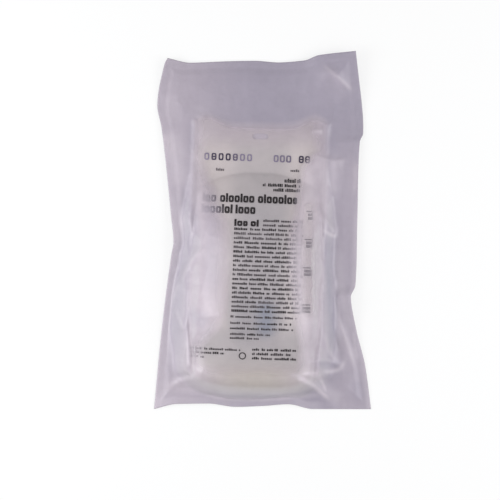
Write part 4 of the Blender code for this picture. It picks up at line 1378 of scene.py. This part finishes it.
class Marks:
    """Gathers flat printed marks that follow the bag's front face."""

    def __init__(self, form, turn):
        self.form = form
        self.turn = turn
        self.points = []
        self.faces = []
        self.weights = []
        self.stamps = []
        self.count = 0
        self.random = np.random.default_rng(11)

    def add_grid(self, x, y, weight, stamp=0.0):
        """One mark from grids of x and y on the page, which turns about its own middle."""
        page_x, page_y = PAGE_MIDDLE
        world_x = page_x + (x - page_x) * math.cos(self.turn) - (y - page_y) * math.sin(self.turn)
        world_y = page_y + (x - page_x) * math.sin(self.turn) + (y - page_y) * math.cos(self.turn)
        world_x, world_y = world_x * MM, world_y * MM
        height = self.form.front_height(*world_to_bag(world_x, world_y)) + INK_LIFT
        self.points.append(np.stack([world_x, world_y, height], axis=2).reshape(-1, 3))
        self.faces.append(grid_faces(*x.shape, self.count))
        self.weights.append(np.full(x.size, weight))
        self.stamps.append(np.full(x.size, stamp))
        self.count += x.size

    def bar(self, left, right, top, bottom, weight, stamp=0.0):
        """A filled bar, in small cells so that it follows the bag."""
        columns = int((right - left) / PRINT_CELL) + 2
        rows = int((top - bottom) / PRINT_CELL) + 2
        x, y = np.meshgrid(np.linspace(left, right, columns), np.linspace(top, bottom, rows))
        self.add_grid(x, y, weight, stamp)

    def loop(self, left, right, top, bottom, stroke, weight, stamp=0.0, power=0.55):
        """A hollow rounded block: two loops of a circle, squared off by a power below 1, one stroke apart."""
        angles = np.linspace(0.0, 2.0 * math.pi, 29)
        cosine = np.sign(np.cos(angles)) * np.abs(np.cos(angles)) ** power
        sine = np.sign(np.sin(angles)) * np.abs(np.sin(angles)) ** power
        insets = np.array([stroke, 0.0])[:, None]
        x = 0.5 * (left + right) + (0.5 * (right - left) - insets) * cosine
        y = 0.5 * (top + bottom) + (0.5 * (top - bottom) - insets) * sine
        self.add_grid(x, y, weight, stamp)

    def words(self, left, right, top, height, weight, ragged=0.0):
        """A line of small type as it looks from a step away: little blocks of uneven width and height,
        set in words of uneven strength."""
        place = left
        end = right - ragged
        while place < end:
            bold = np.clip(weight + self.random.uniform(-0.35, 0.15), 0.0, 1.0)
            for _ in range(self.random.integers(2, 10)):
                width = self.random.uniform(*BLOCK_WIDTHS)
                if place + width > end:
                    return
                tall = height * (1.0 if self.random.uniform() < 0.4 else 0.74)
                self.bar(place, place + width, top - height + tall, top - height, bold)
                place += width + BLOCK_GAP
            place += self.random.uniform(*WORD_GAPS)

    def bold(self, widths, left, top, height):
        """A row as dense as bold type, made of plain hollow blocks and uprights set in words."""
        place = left
        low = top - height
        number = 0
        for width in widths:
            end = place + width
            while place < end - 1.0:
                if BOLD_PATTERN[number % len(BOLD_PATTERN)] == "o" and end - place > 3.0:
                    step = min(BOLD_BLOCK, end - place)
                    self.loop(place, place + step, low + BOLD_BODY * height, low, BOLD_STROKE, 1.0)
                else:
                    step = BOLD_UPRIGHT
                    self.bar(place, place + step, top, low, 1.0)
                number += 1
                place += step + BOLD_GAP
            place = end + BOLD_WORD_GAP

    def stamped(self, left, top, pitch, weights, kinds):
        """A stamped row of hollow blocks, which have a bar across where the kind is 8."""
        for number, (weight, kind) in enumerate(zip(weights, kinds)):
            x = left + number * pitch
            if kind != " ":
                self.loop(x, x + STAMP_WIDTH, top, top - STAMP_HEIGHT, STAMP_STROKE, weight, 1.0)
            if kind == "8":
                self.bar(x + 0.9, x + 3.0, top - 2.3, top - 3.3, weight, 1.0)

    def column(self):
        """The column of small type, with an uneven right edge."""
        for number, weight in enumerate(COLUMN_ROWS):
            left = 0.0 if number < INDENTED_ROWS else COLUMN_LEFT
            top = COLUMN_TOP - COLUMN_PITCH * number
            ragged = self.random.uniform(0.0, COLUMN_RAGGED)
            self.words(left, COLUMN_RIGHT, top, COLUMN_HEIGHT, weight, ragged)


class BAG_OT_print(bpy.types.Operator):
    """Print the plain marks on the bag's front"""

    bl_idname = "infusion_bag.print"
    bl_label = "Print"

    def execute(self, context):
        settings = context.scene.infusion_print
        marks = Marks(BagForm(context.scene.infusion_bag), settings.turn)
        for row in STAMPED_ROWS:
            marks.stamped(*row)
        for row in UPPER_ROWS:
            marks.words(*row)
        for row in BOLD_ROWS:
            marks.bold(*row)
        marks.column()
        for row in LOWER_ROWS:
            marks.words(*row)
        marks.loop(*RING, RING_STROKE, 0.85, power=1.0)
        for top, left in VOLUME_MARKS:
            for indent, drop, height in VOLUME_BARS:
                marks.bar(left + indent, VOLUME_RIGHT, top - drop, top - drop - height, 1.0)

        points = np.concatenate(marks.points)
        faces = np.concatenate(marks.faces)
        piece = add_piece("bag_print", points, faces, ink_material(settings))
        add_attribute(piece, "weight", np.concatenate(marks.weights))
        add_attribute(piece, "stamp", np.concatenate(marks.stamps))
        return {"FINISHED"}


# Ports


class BAG_OT_ports(bpy.types.Operator):
    """Build the two ports and what is on them"""

    bl_idname = "infusion_bag.ports"
    bl_label = "Ports"

    def execute(self, context):
        settings = context.scene.infusion_ports
        start = BagForm(context.scene.infusion_bag).tail_end - CONTACT_GAP
        outlet = bag_to_world(0.5 * PORT_SPACING, start, port_axis_height())
        inlet = bag_to_world(-0.5 * PORT_SPACING, start, port_axis_height())
        milky = plastic_material("port_vinyl", settings.tube_colour, *PORT_VINYL_FINISH)
        blue = plastic_material("cover_plastic", settings.cover_colour, *COVER_FINISH)
        rubber = plastic_material("septum_rubber", settings.septum_colour, *RUBBER_FINISH)

        ring_end = OUTLET_RING_PLACE + OUTLET_RING_WIDTH
        bore = OUTLET_RADIUS - PORT_WALL
        tube = (
            (bore, 0.0),
            (OUTLET_RADIUS, 0.0),
            (OUTLET_RADIUS, OUTLET_RING_PLACE),
            (OUTLET_RING_RADIUS, OUTLET_RING_PLACE),
            (OUTLET_RING_RADIUS, ring_end),
            (OUTLET_RADIUS, ring_end),
            (OUTLET_RADIUS, OUTLET_LENGTH),
            (bore, OUTLET_LENGTH),
        )
        membrane_end = MEMBRANE_PLACE + MEMBRANE_THICKNESS
        membrane = ring_profile(0.0, bore - CONTACT_GAP, MEMBRANE_PLACE, membrane_end)
        membrane = eased(membrane, 0.1 * MM)

        inside = OUTLET_RADIUS + CONTACT_GAP
        outside = inside + COVER_WALL
        low = ring_end + CONTACT_GAP
        high = low + COVER_LENGTH
        cover = (
            (0.0, high - COVER_WALL),
            (inside - COVER_TIP_NARROWING, high - COVER_WALL),
            (inside, OUTLET_LENGTH + CONTACT_GAP),
            (inside, low),
            (COVER_LIP_RADIUS, low),
            (COVER_LIP_RADIUS, low + COVER_LIP_WIDTH),
            (outside, low + COVER_LIP_WIDTH),
            (outside - COVER_TIP_NARROWING, high),
            (0.0, high),
        )

        bore = INLET_RADIUS - PORT_WALL
        plug = bore - CONTACT_GAP
        seat = INLET_LENGTH + CONTACT_GAP
        head = seat + SEPTUM_HEAD
        septum = (
            (0.0, INLET_LENGTH - SEPTUM_PLUG),
            (plug, INLET_LENGTH - SEPTUM_PLUG),
            (plug, seat),
            (INLET_RADIUS, seat),
            (INLET_RADIUS, head),
            (0.5 * INLET_RADIUS, head),
            (0.4 * INLET_RADIUS, head - SEPTUM_DIMPLE),
            (0.0, head - SEPTUM_DIMPLE),
        )
        inner = INLET_RADIUS + CONTACT_GAP
        inlet_tube = ring_profile(bore, INLET_RADIUS, 0.0, INLET_LENGTH)
        band = ring_profile(inner, inner + BAND_WALL, INLET_LENGTH - BAND_COVER, head)

        outlet_pieces = (
            ("outlet_tube", eased(tube), milky, "administration_port_tube", "port_vinyl"),
            ("outlet_membrane", membrane, milky, "administration_port_membrane", "port_vinyl"),
            ("blue_port_cover", eased(cover, 0.8 * MM), blue, "port_cover", "port_cover"),
        )
        inlet_pieces = (
            ("inlet_tube", eased(inlet_tube), milky, "injection_port_tube", "port_vinyl"),
            ("inlet_septum", eased(septum), rubber, "injection_port_septum", "septum_rubber"),
            ("inlet_band", eased(band), milky, "injection_port_band", "port_vinyl"),
        )
        for place, pieces in ((outlet, outlet_pieces), (inlet, inlet_pieces)):
            for name, profile, material, node, slot in pieces:
                add_turned(name, profile, material, place, BAG_TURN, settings.sides, node)
        return {"FINISHED"}


# Overwrap pouch


class PouchForm:
    """The pouch's shape: four bowed edges, filled in between them, and what lifts the film.

    The front film hangs over the bag as the highest of many cones, one from each point of the bag, and
    folds run along their own paths on top of that. The back film lies flat inside its lifted edges.
    """

    def __init__(self, settings, bag):
        self.width = settings.width
        self.length = settings.length
        self.seal = settings.seal
        self.bag = bag

    def edge(self, points, start, end, outward, shares):
        """Points and lifts of one edge: the line from start to end, bowed outward."""
        places, bows, lifts = np.array(points).T
        bow = curve_through(places, bows * MM, shares)[:, None]
        lift = curve_through(places, lifts * MM, shares)
        line = np.array(start) + (np.array(end) - np.array(start)) * shares[:, None]
        return line + bow * np.array(outward), lift

    def edges(self, across, down):
        """The points and the lifts of the top, bottom, left and right edge."""
        half_top = 0.5 * POUCH_TOP_WIDTH
        half = 0.5 * self.width
        high = 0.5 * self.length
        top_left = (POUCH_TOP_SHIFT - half_top, high - POUCH_TOP_RISE)
        top_right = (POUCH_TOP_SHIFT + half_top, high)
        top, top_lift = self.edge(TOP_EDGE, top_left, top_right, (0.0, 1.0), across)
        bottom, bottom_lift = self.edge(BOTTOM_EDGE, (-half, -high), (half, -high), (0.0, -1.0), across)
        left, left_lift = self.edge(LEFT_EDGE, top_left, (-half, -high), (-1.0, 0.0), down)
        right, right_lift = self.edge(RIGHT_EDGE, top_right, (half, -high), (1.0, 0.0), down)
        plan = (top[None, :, :], bottom[None, :, :], left[:, None, :], right[:, None, :])
        lifts = (top_lift[None, :], bottom_lift[None, :], left_lift[:, None], right_lift[:, None])
        return plan, lifts

    def blended(self, edges, across, down):
        """Fills in four edges: each point is the weighted sum of its pairs of edges, less the corners."""
        top, bottom, left, right = edges
        to_left, to_right = across
        to_top, to_bottom = down
        total = to_top * top + to_bottom * bottom + to_left * left + to_right * right
        corners = to_left * to_top * top[:, :1] + to_right * to_top * top[:, -1:]
        return total - corners - to_left * to_bottom * bottom[:, :1] - to_right * to_bottom * bottom[:, -1:]

    def plan(self, across, down):
        """The x and y of the whole film, filled in between its four edges."""
        edges, _ = self.edges(across, down)
        s = across[None, :, None]
        t = down[:, None, None]
        return self.blended(edges, (1.0 - s, s), (1.0 - t, t))

    def lift(self, across, down, factor):
        """The lift that the edges give the film, which dies out over each edge's run."""
        _, lifts = self.edges(across, down)
        s = across[None, :] * self.width
        t = down[:, None] * self.length

        def hold(distance, run):
            """1 over the seal, falling evenly to 0 at the end of the run."""
            return np.clip((run - distance) / (run - self.seal), 0.0, 1.0)

        side = SIDE_RUN * factor
        to_sides = (hold(s, side), hold(self.width - s, side))
        to_ends = (hold(t, TOP_RUN * factor), hold(self.length - t, BOTTOM_RUN * factor))
        return self.blended(lifts, to_sides, to_ends)

    def from_edge(self, across, down):
        """The distance to the nearest edge."""
        s = across[None, :] * self.width
        t = down[:, None] * self.length
        return np.minimum(np.minimum(s, self.width - s), np.minimum(t, self.length - t))

    def draped(self, x, y):
        """The height of film that hangs over the bag: from each point of the bag it falls away evenly
        along a rounded cone, steeper towards the ends, and the highest counts."""
        columns, flap, pillow, nose = DRAPE_GRID
        front, _ = self.bag.surfaces(
            np.linspace(-1.0, 1.0, columns),
            np.linspace(0.0, 1.0, flap),
            np.linspace(0.0, 1.0, pillow),
            np.linspace(0.0, 0.5 * math.pi, nose),
            np.array([0.0]),
        )
        points = front[:-1].reshape(-1, 3)
        furthest = points[:, 2].max() / END_SLOPE
        height = np.empty(x.shape)
        for row in range(len(x)):
            near = points[(points[:, 1] > y[row].min() - furthest) & (points[:, 1] < y[row].max() + furthest)]
            side = (x[row][:, None] - near[:, 0]) * SIDE_SLOPE
            end = (y[row][:, None] - near[:, 1]) * END_SLOPE
            fall = np.sqrt(side * side + end * end + DRAPE_ROUNDING**2) - DRAPE_ROUNDING
            height[row] = (near[:, 2] - fall).max(axis=1, initial=-furthest)
        return smoothed(height, 2) + FILM_CLEARANCE

    def folds(self, x, y):
        """The folds' heights, how strongly each point is folded, and the painted highlight, a thin pale line
        on
            each crest: along each path the film falls off on either side as an exponential with a small round
                crest,
            and fades at the path's two ends."""
        total = np.zeros(x.shape)
        strength = np.zeros(x.shape)
        painted_highlight = np.zeros(x.shape)
        for path, left, right, height in FOLDS:
            gap, place = along_path(x, y, rounded_path(path) * MM)
            reach = np.where(gap > 0.0, left, right) * MM
            profile = np.exp(-(np.sqrt(gap**2 + FOLD_CREST**2) - FOLD_CREST) / reach)
            ends = smooth_step(place, 0.0, 0.3) * smooth_fall(place, 0.7, 1.0)
            held = FOLD_END_SHARE + (1.0 - FOLD_END_SHARE) * ends
            total += FOLD_SHARE * height * MM * profile * held
            size = min(1.0, abs(height) / 2.0) * ends
            strength = np.maximum(strength, profile * size)
            # A painted highlight along the crest of each raised fold
            if height > 0.0:
                painted_highlight = np.maximum(painted_highlight, np.exp(-((gap / CREST_HIGHLIGHT_REACH) ** 2)) * size)
        return total, strength, CREST_HIGHLIGHT_SHARE * painted_highlight

    def painted_bands(self, x, y):
        """How much paler and how much greyer the film is painted, as painted highlight and painted shade, in
        smooth
            bands along the listed paths that fade towards their ends."""
        pale = np.zeros(x.shape)
        grey = np.zeros(x.shape)
        for path, reach, share in PAINTED_BANDS:
            gap, place = along_path(x, y, rounded_path(path) * MM)
            ends = smooth_step(place, 0.0, 0.2) * smooth_fall(place, 0.8, 1.0)
            held = PAINTED_BAND_END_SHARE + (1.0 - PAINTED_BAND_END_SHARE) * ends
            band = abs(share) * np.exp(-((gap / (reach * MM)) ** 2)) * held
            if share > 0.0:
                pale = np.maximum(pale, band)
            else:
                grey = np.maximum(grey, band)
        return pale, grey

    def crumple(self, x, y):
        """Slack waves and fine crinkles: sums of smooth noise, some folded at zero into creases."""
        waves = 0.55 * value_noise(x, y, 26.0 * MM, 3) + 0.30 * value_noise(x + 0.4 * y, y, 13.0 * MM, 5)
        ridged = 1.0 - np.abs(value_noise(x - 0.5 * y, 0.6 * y, 17.0 * MM, 8))
        fine = 1.0 - np.abs(value_noise(x + 0.3 * y, y, 8.0 * MM, 13))
        return waves * MM + 0.45 * MM * ridged**3 + 0.16 * MM * fine**2

    def front_film(self, across, down, x, y, inside, covered, back):
        """The height of the front film's lower face, how strongly it is folded, and the painted highlight on
        its crests.

        Its flange rises from the lifted edges and its drape stands on that, with folds and slack on top.
        The film is the smooth greater of this and of the lowest that it may lie: on the back film, and on
        the bag, from which that limit falls away evenly outside the bag's outline.
        """
        edge = self.from_edge(across, down)
        seat = FILM_THICKNESS + CONTACT_GAP
        open_film = smooth_step(edge, self.seal, self.seal + AIR_RUN)
        flange = self.lift(across, down, FRONT_RUN_FACTOR) + seat + AIR_GAP * open_film
        draped = self.draped(x, y)
        foot = smooth_step(edge, self.seal, self.seal + FOOT_RUN)
        raised = flange + smooth_greater(draped - flange, 0.0, FOOT_ROUNDING) * foot
        folds, folded, crest_highlight = self.folds(x, y)
        soft = raised + (folds + self.crumple(x, y)) * open_film
        lowest = np.maximum(np.minimum(draped, raised), back + seat)
        lowest = np.maximum(lowest, covered - GUARD_SLOPE * np.maximum(-inside, 0.0))
        rounding = GUARD_ROUNDING * smooth_step(edge, self.seal, self.seal + 2.0 * FOOT_RUN)
        return smooth_greater(soft, lowest, rounding), folded, crest_highlight


def down_page(y, low, high):
    """0 above the first distance below the pouch's middle, and 1 below the second, in millimetres."""
    return smooth_step(-y, low * MM, high * MM)


def up_page(y, low, high):
    """0 below the first distance above the pouch's middle, and 1 above the second, in millimetres."""
    return smooth_step(y, low * MM, high * MM)


def film_haze(x, y, inside, folded):
    """0 where the film lies close on the bag, rising to 1 where it stands free: it is close between a left
    and a right limit that follow the print down the page, and the haze grows with the distance to them.
    A band down the right, where the volume marks are, is nearly as close."""
    table = np.array(CLOSE_FILM[::-1]) * MM
    left = curve_through(table[:, 0], table[:, 1], y)
    right = curve_through(table[:, 0], table[:, 2], y)
    close = np.exp(-((np.maximum(left - x, 0.0) / HAZE_RUN_LEFT) ** 1.3))
    close *= np.exp(-((np.maximum(x - right, 0.0) / HAZE_RUN_RIGHT) ** 1.2))
    close *= 1.0 - FLAP_HAZE * up_page(y, 58.0, 80.0)
    close *= 1.0 - FOOT_HAZE * down_page(y, 100.0, 116.0)
    close *= smooth_fall(-inside - 4.0 * MM * down_page(y, 100.0, 114.0), -4.0 * MM, 2.0 * MM)
    beside_marks = np.exp(-(((x - MARKS_MIDDLE) / MARKS_REACH) ** 2))
    beside_marks *= up_page(y, -75.0, -60.0) * (1.0 - up_page(y, 18.0, 28.0))
    close = np.maximum(close, MARKS_CLOSENESS * beside_marks)
    return np.clip(1.0 - close + FOLD_HAZE * folded, 0.0, 1.0)


def film_painted_light(x, y, height, inside, down, folded):
    """How much light is painted into the film's colour: least where it lies flat on the back film, more
    towards the left, the lower right and along folds, and most over the filled bag, where light scattered
    back from it is painted, and wherever the film is lifted, where its slopes are painted lit."""
    over_bag = smooth_step(inside, -6.0 * MM, 0.0)
    over_bag *= FLAP_PAINTED_LIGHT + (1.0 - FLAP_PAINTED_LIGHT) * smooth_step(down, 38.0 * MM, 75.0 * MM)
    lifted = LIFTED_PAINTED_LIGHT * smooth_step(height, 4.0 * MM, 13.0 * MM)
    lifted *= 1.0 - 0.25 * down_page(y, 108.0, 122.0)
    # Painted light towards the left and the lower right, and along folds
    side_and_fold_light = LEFT_PAINTED_LIGHT * smooth_step(-x, 0.0, 72.0 * MM)
    side_and_fold_light += RIGHT_PAINTED_LIGHT * smooth_step(x, 45.0 * MM, 65.0 * MM) * down_page(y, -90.0, -40.0)
    side_and_fold_light += FOLD_PAINTED_LIGHT * folded
    return np.clip(np.maximum(over_bag, side_and_fold_light + (1.0 - side_and_fold_light) * lifted), 0.0, 1.0)


def painted_rim_light(x, y, to_left, to_right, to_bottom):
    """How much paler the sealed rim is painted than the film beside it, along the left, right and lower
    edges: painted light on the flat flange.
    """
    left = LEFT_RIM * smooth_fall(to_left, 5.0 * MM, 8.5 * MM) * (1.0 - up_page(y, 15.0, 45.0))
    right = SIDE_RIM * smooth_fall(to_right, 2.0 * MM, 5.0 * MM) * (1.0 - up_page(y, 0.0, 30.0))
    bottom = SIDE_RIM * smooth_fall(to_bottom, 4.0 * MM, 8.0 * MM) * smooth_fall(x, 40.0 * MM, 52.0 * MM)
    return np.maximum(np.maximum(left, right), bottom)


def film_cream(x, y):
    """How much cream the film takes on from the bag's doubled lower end: a soft patch over its middle."""
    across = np.exp(-(np.abs((x - CREAM_MIDDLE) / CREAM_REACH) ** 2.6))
    return CREAM_SHARE * across * down_page(y, 98.0, 112.0) * (1.0 - down_page(y, 119.0, 129.0))


def add_film(name, node, points, turned, material, values):
    """One film of the pouch with what its material reads, given as grids like its points."""
    faces = grid_faces(*points.shape[:2])
    faces = faces[:, ::-1] if turned else faces
    piece = add_piece(name, points, faces, material, node)
    for key, grid in values.items():
        add_attribute(piece, key, grid)
    give_thickness(piece, FILM_THICKNESS)
    return piece


class BAG_OT_overwrap(bpy.types.Operator):
    """Build the overwrap's front and back films"""

    bl_idname = "infusion_bag.overwrap"
    bl_label = "Overwrap"

    def execute(self, context):
        settings = context.scene.infusion_pouch
        form = PouchForm(settings, BagForm(context.scene.infusion_bag))
        across = np.linspace(0.0, 1.0, settings.columns + 1)
        down = np.linspace(0.0, 1.0, settings.rows + 1)
        x, y = np.moveaxis(form.plan(across, down), 2, 0)
        bag_across, bag_down = world_to_bag(x, y)
        inside = form.bag.inside(bag_across, bag_down)
        covered = form.bag.front_height(bag_across, bag_down) + FILM_CLEARANCE
        back = form.lift(across, down, 1.0)
        height, folded, crest_highlight = form.front_film(across, down, x, y, inside, covered, back)

        # Painted highlights (pale) and painted shade (grey) in bands along paths
        pale, grey = form.painted_bands(x, y)
        from_left = np.broadcast_to(across[None, :], x.shape) * form.width
        from_bottom = (1.0 - down[:, None]) * form.length
        # The painted paler band near the edges, painted light
        rim = painted_rim_light(x, y, from_left, form.width - from_left, from_bottom)
        # Painted shade from the grey bands lowers the painted light; painted highlights come from fold
        # crests, pale bands and the rim
        values = {
            "haze": film_haze(x, y, inside, folded),
            "painted_light": film_painted_light(x, y, height - back, inside, bag_down, folded) * (1.0 - grey),
            "painted_highlight": np.maximum(np.maximum(crest_highlight, pale), rim),
            "cream": film_cream(x, y),
        }
        front = np.stack([x, y, height + FILM_THICKNESS], axis=2)
        film = film_material(settings, "front_film", True)
        piece = add_film("overwrap_front", "overwrap_front_film", front, False, film, values)

        # The back film is painted paler under the bag: painted light scattered back from it
        values = {
            "haze": np.ones(x.shape),
            "painted_light": BACK_FILM_PAINTED_LIGHT * smooth_step(inside, -3.0 * MM, 12.0 * MM),
            "painted_highlight": np.zeros(x.shape),
            "cream": np.zeros(x.shape),
        }
        lower = np.stack([x, y, back], axis=2)
        film = film_material(settings, "back_film", False)
        piece = add_film("overwrap_back", "overwrap_back_film", lower, True, film, values)
        return {"FINISHED"}


# Stage


class BAG_OT_stage(bpy.types.Operator):
    """Set up the floor, the soft lamps and the camera that looks straight down"""

    bl_idname = "infusion_bag.stage"
    bl_label = "Stage"

    def execute(self, context):
        settings = context.scene.infusion_stage
        scene = context.scene
        mesh = bpy.data.meshes.new("floor")
        corners = ((-1.0, -1.0), (1.0, -1.0), (1.0, 1.0), (-1.0, 1.0))
        points = [(FLOOR_REACH * x, FLOOR_REACH * y, FLOOR_HEIGHT) for x, y in corners]
        mesh.from_pydata(points, [], [(0, 1, 2, 3)])
        shade = Shading(bpy.data.materials.new("pale_floor"))
        surface = shade.add("BsdfDiffuse", (("Color", settings.floor_colour),))
        white = shade.add("Emission", (("Color", WHITE), ("Strength", 1.0)))
        path = shade.add("LightPath")
        seen = shade.math("MAXIMUM", path.outputs["Is Camera Ray"], path.outputs["Is Glossy Ray"])
        seen = shade.math("MAXIMUM", seen, path.outputs["Is Transmission Ray"])
        share = shade.math("MULTIPLY", seen, FLOOR_WHITENESS)
        mixed = shade.add("MixShader", ((0, share), (1, surface.outputs[0]), (2, white.outputs[0])))
        mesh.materials.append(shade.finish(mixed.outputs[0]))
        floor = bpy.data.objects.new("floor", mesh)
        scene.collection.objects.link(floor)

        self.add_lamp(scene, "key_lamp", KEY_PLACE, settings.key_power)
        self.add_lamp(scene, "fill_lamp", FILL_PLACE, settings.fill_power)
        room = Shading(bpy.data.worlds.new("soft_room"))
        light = room.add("Background", (("Color", SKY_COLOUR), ("Strength", settings.sky)))
        white = room.add("Background", (("Color", WHITE),))
        seen = room.add("LightPath").outputs["Is Camera Ray"]
        mixed = room.add("MixShader", ((0, seen), (1, light.outputs[0]), (2, white.outputs[0])))
        scene.world = room.finish(mixed.outputs[0], "OutputWorld")

        lens = bpy.data.cameras.new("camera")
        lens.sensor_width = 36.0
        lens.lens = lens.sensor_width * settings.camera_height / settings.view_width
        lens.clip_start = 0.05
        lens.clip_end = 20.0
        camera = bpy.data.objects.new("camera", lens)
        camera.location = (VIEW_CENTRE[0], VIEW_CENTRE[1], settings.camera_height)
        scene.collection.objects.link(camera)
        scene.camera = camera
        scene.view_settings.view_transform = "Standard"
        return {"FINISHED"}

    def add_lamp(self, scene, name, place, power):
        """A square lamp that faces the middle of the pouch."""
        light = bpy.data.lights.new(name, "AREA")
        light.size = LAMP_SIZE
        light.energy = power
        lamp = bpy.data.objects.new(name, light)
        lamp.location = place
        x, y, z = place
        lamp.rotation_euler = (math.atan2(math.hypot(x, y), z), 0.0, math.atan2(x, -y))
        scene.collection.objects.link(lamp)


class BAG_PT_panel(bpy.types.Panel):
    """Sizes, colours and the builders of the infusion bag"""

    bl_idname = "BAG_PT_panel"
    bl_label = "Infusion Bag"
    bl_space_type = "VIEW_3D"
    bl_region_type = "UI"
    bl_category = "Infusion Bag"

    def draw(self, context):
        for name, group, operator in GROUPS:
            box = self.layout.box()
            for key in group.__annotations__:
                box.prop(getattr(context.scene, name), key)
            box.operator(operator.bl_idname)


GROUPS = (
    ("infusion_pouch", PouchSettings, BAG_OT_overwrap),
    ("infusion_bag", BagSettings, BAG_OT_bag),
    ("infusion_print", PrintSettings, BAG_OT_print),
    ("infusion_ports", PortSettings, BAG_OT_ports),
    ("infusion_stage", StageSettings, BAG_OT_stage),
)


def register():
    """Registers the settings, the operators and the panel."""
    for name, group, operator in GROUPS:
        bpy.utils.register_class(group)
        bpy.utils.register_class(operator)
        setattr(bpy.types.Scene, name, PointerProperty(type=group))
    bpy.utils.register_class(BAG_PT_panel)


def unregister():
    """Takes them out again in the opposite order."""
    bpy.utils.unregister_class(BAG_PT_panel)
    for name, group, operator in reversed(GROUPS):
        delattr(bpy.types.Scene, name)
        bpy.utils.unregister_class(operator)
        bpy.utils.unregister_class(group)


def main():
    """Builds every piece and the stage."""
    register()
    bpy.ops.infusion_bag.bag()
    bpy.ops.infusion_bag.print()
    bpy.ops.infusion_bag.ports()
    bpy.ops.infusion_bag.overwrap()
    bpy.ops.infusion_bag.stage()


if __name__ == "__main__":
    main()
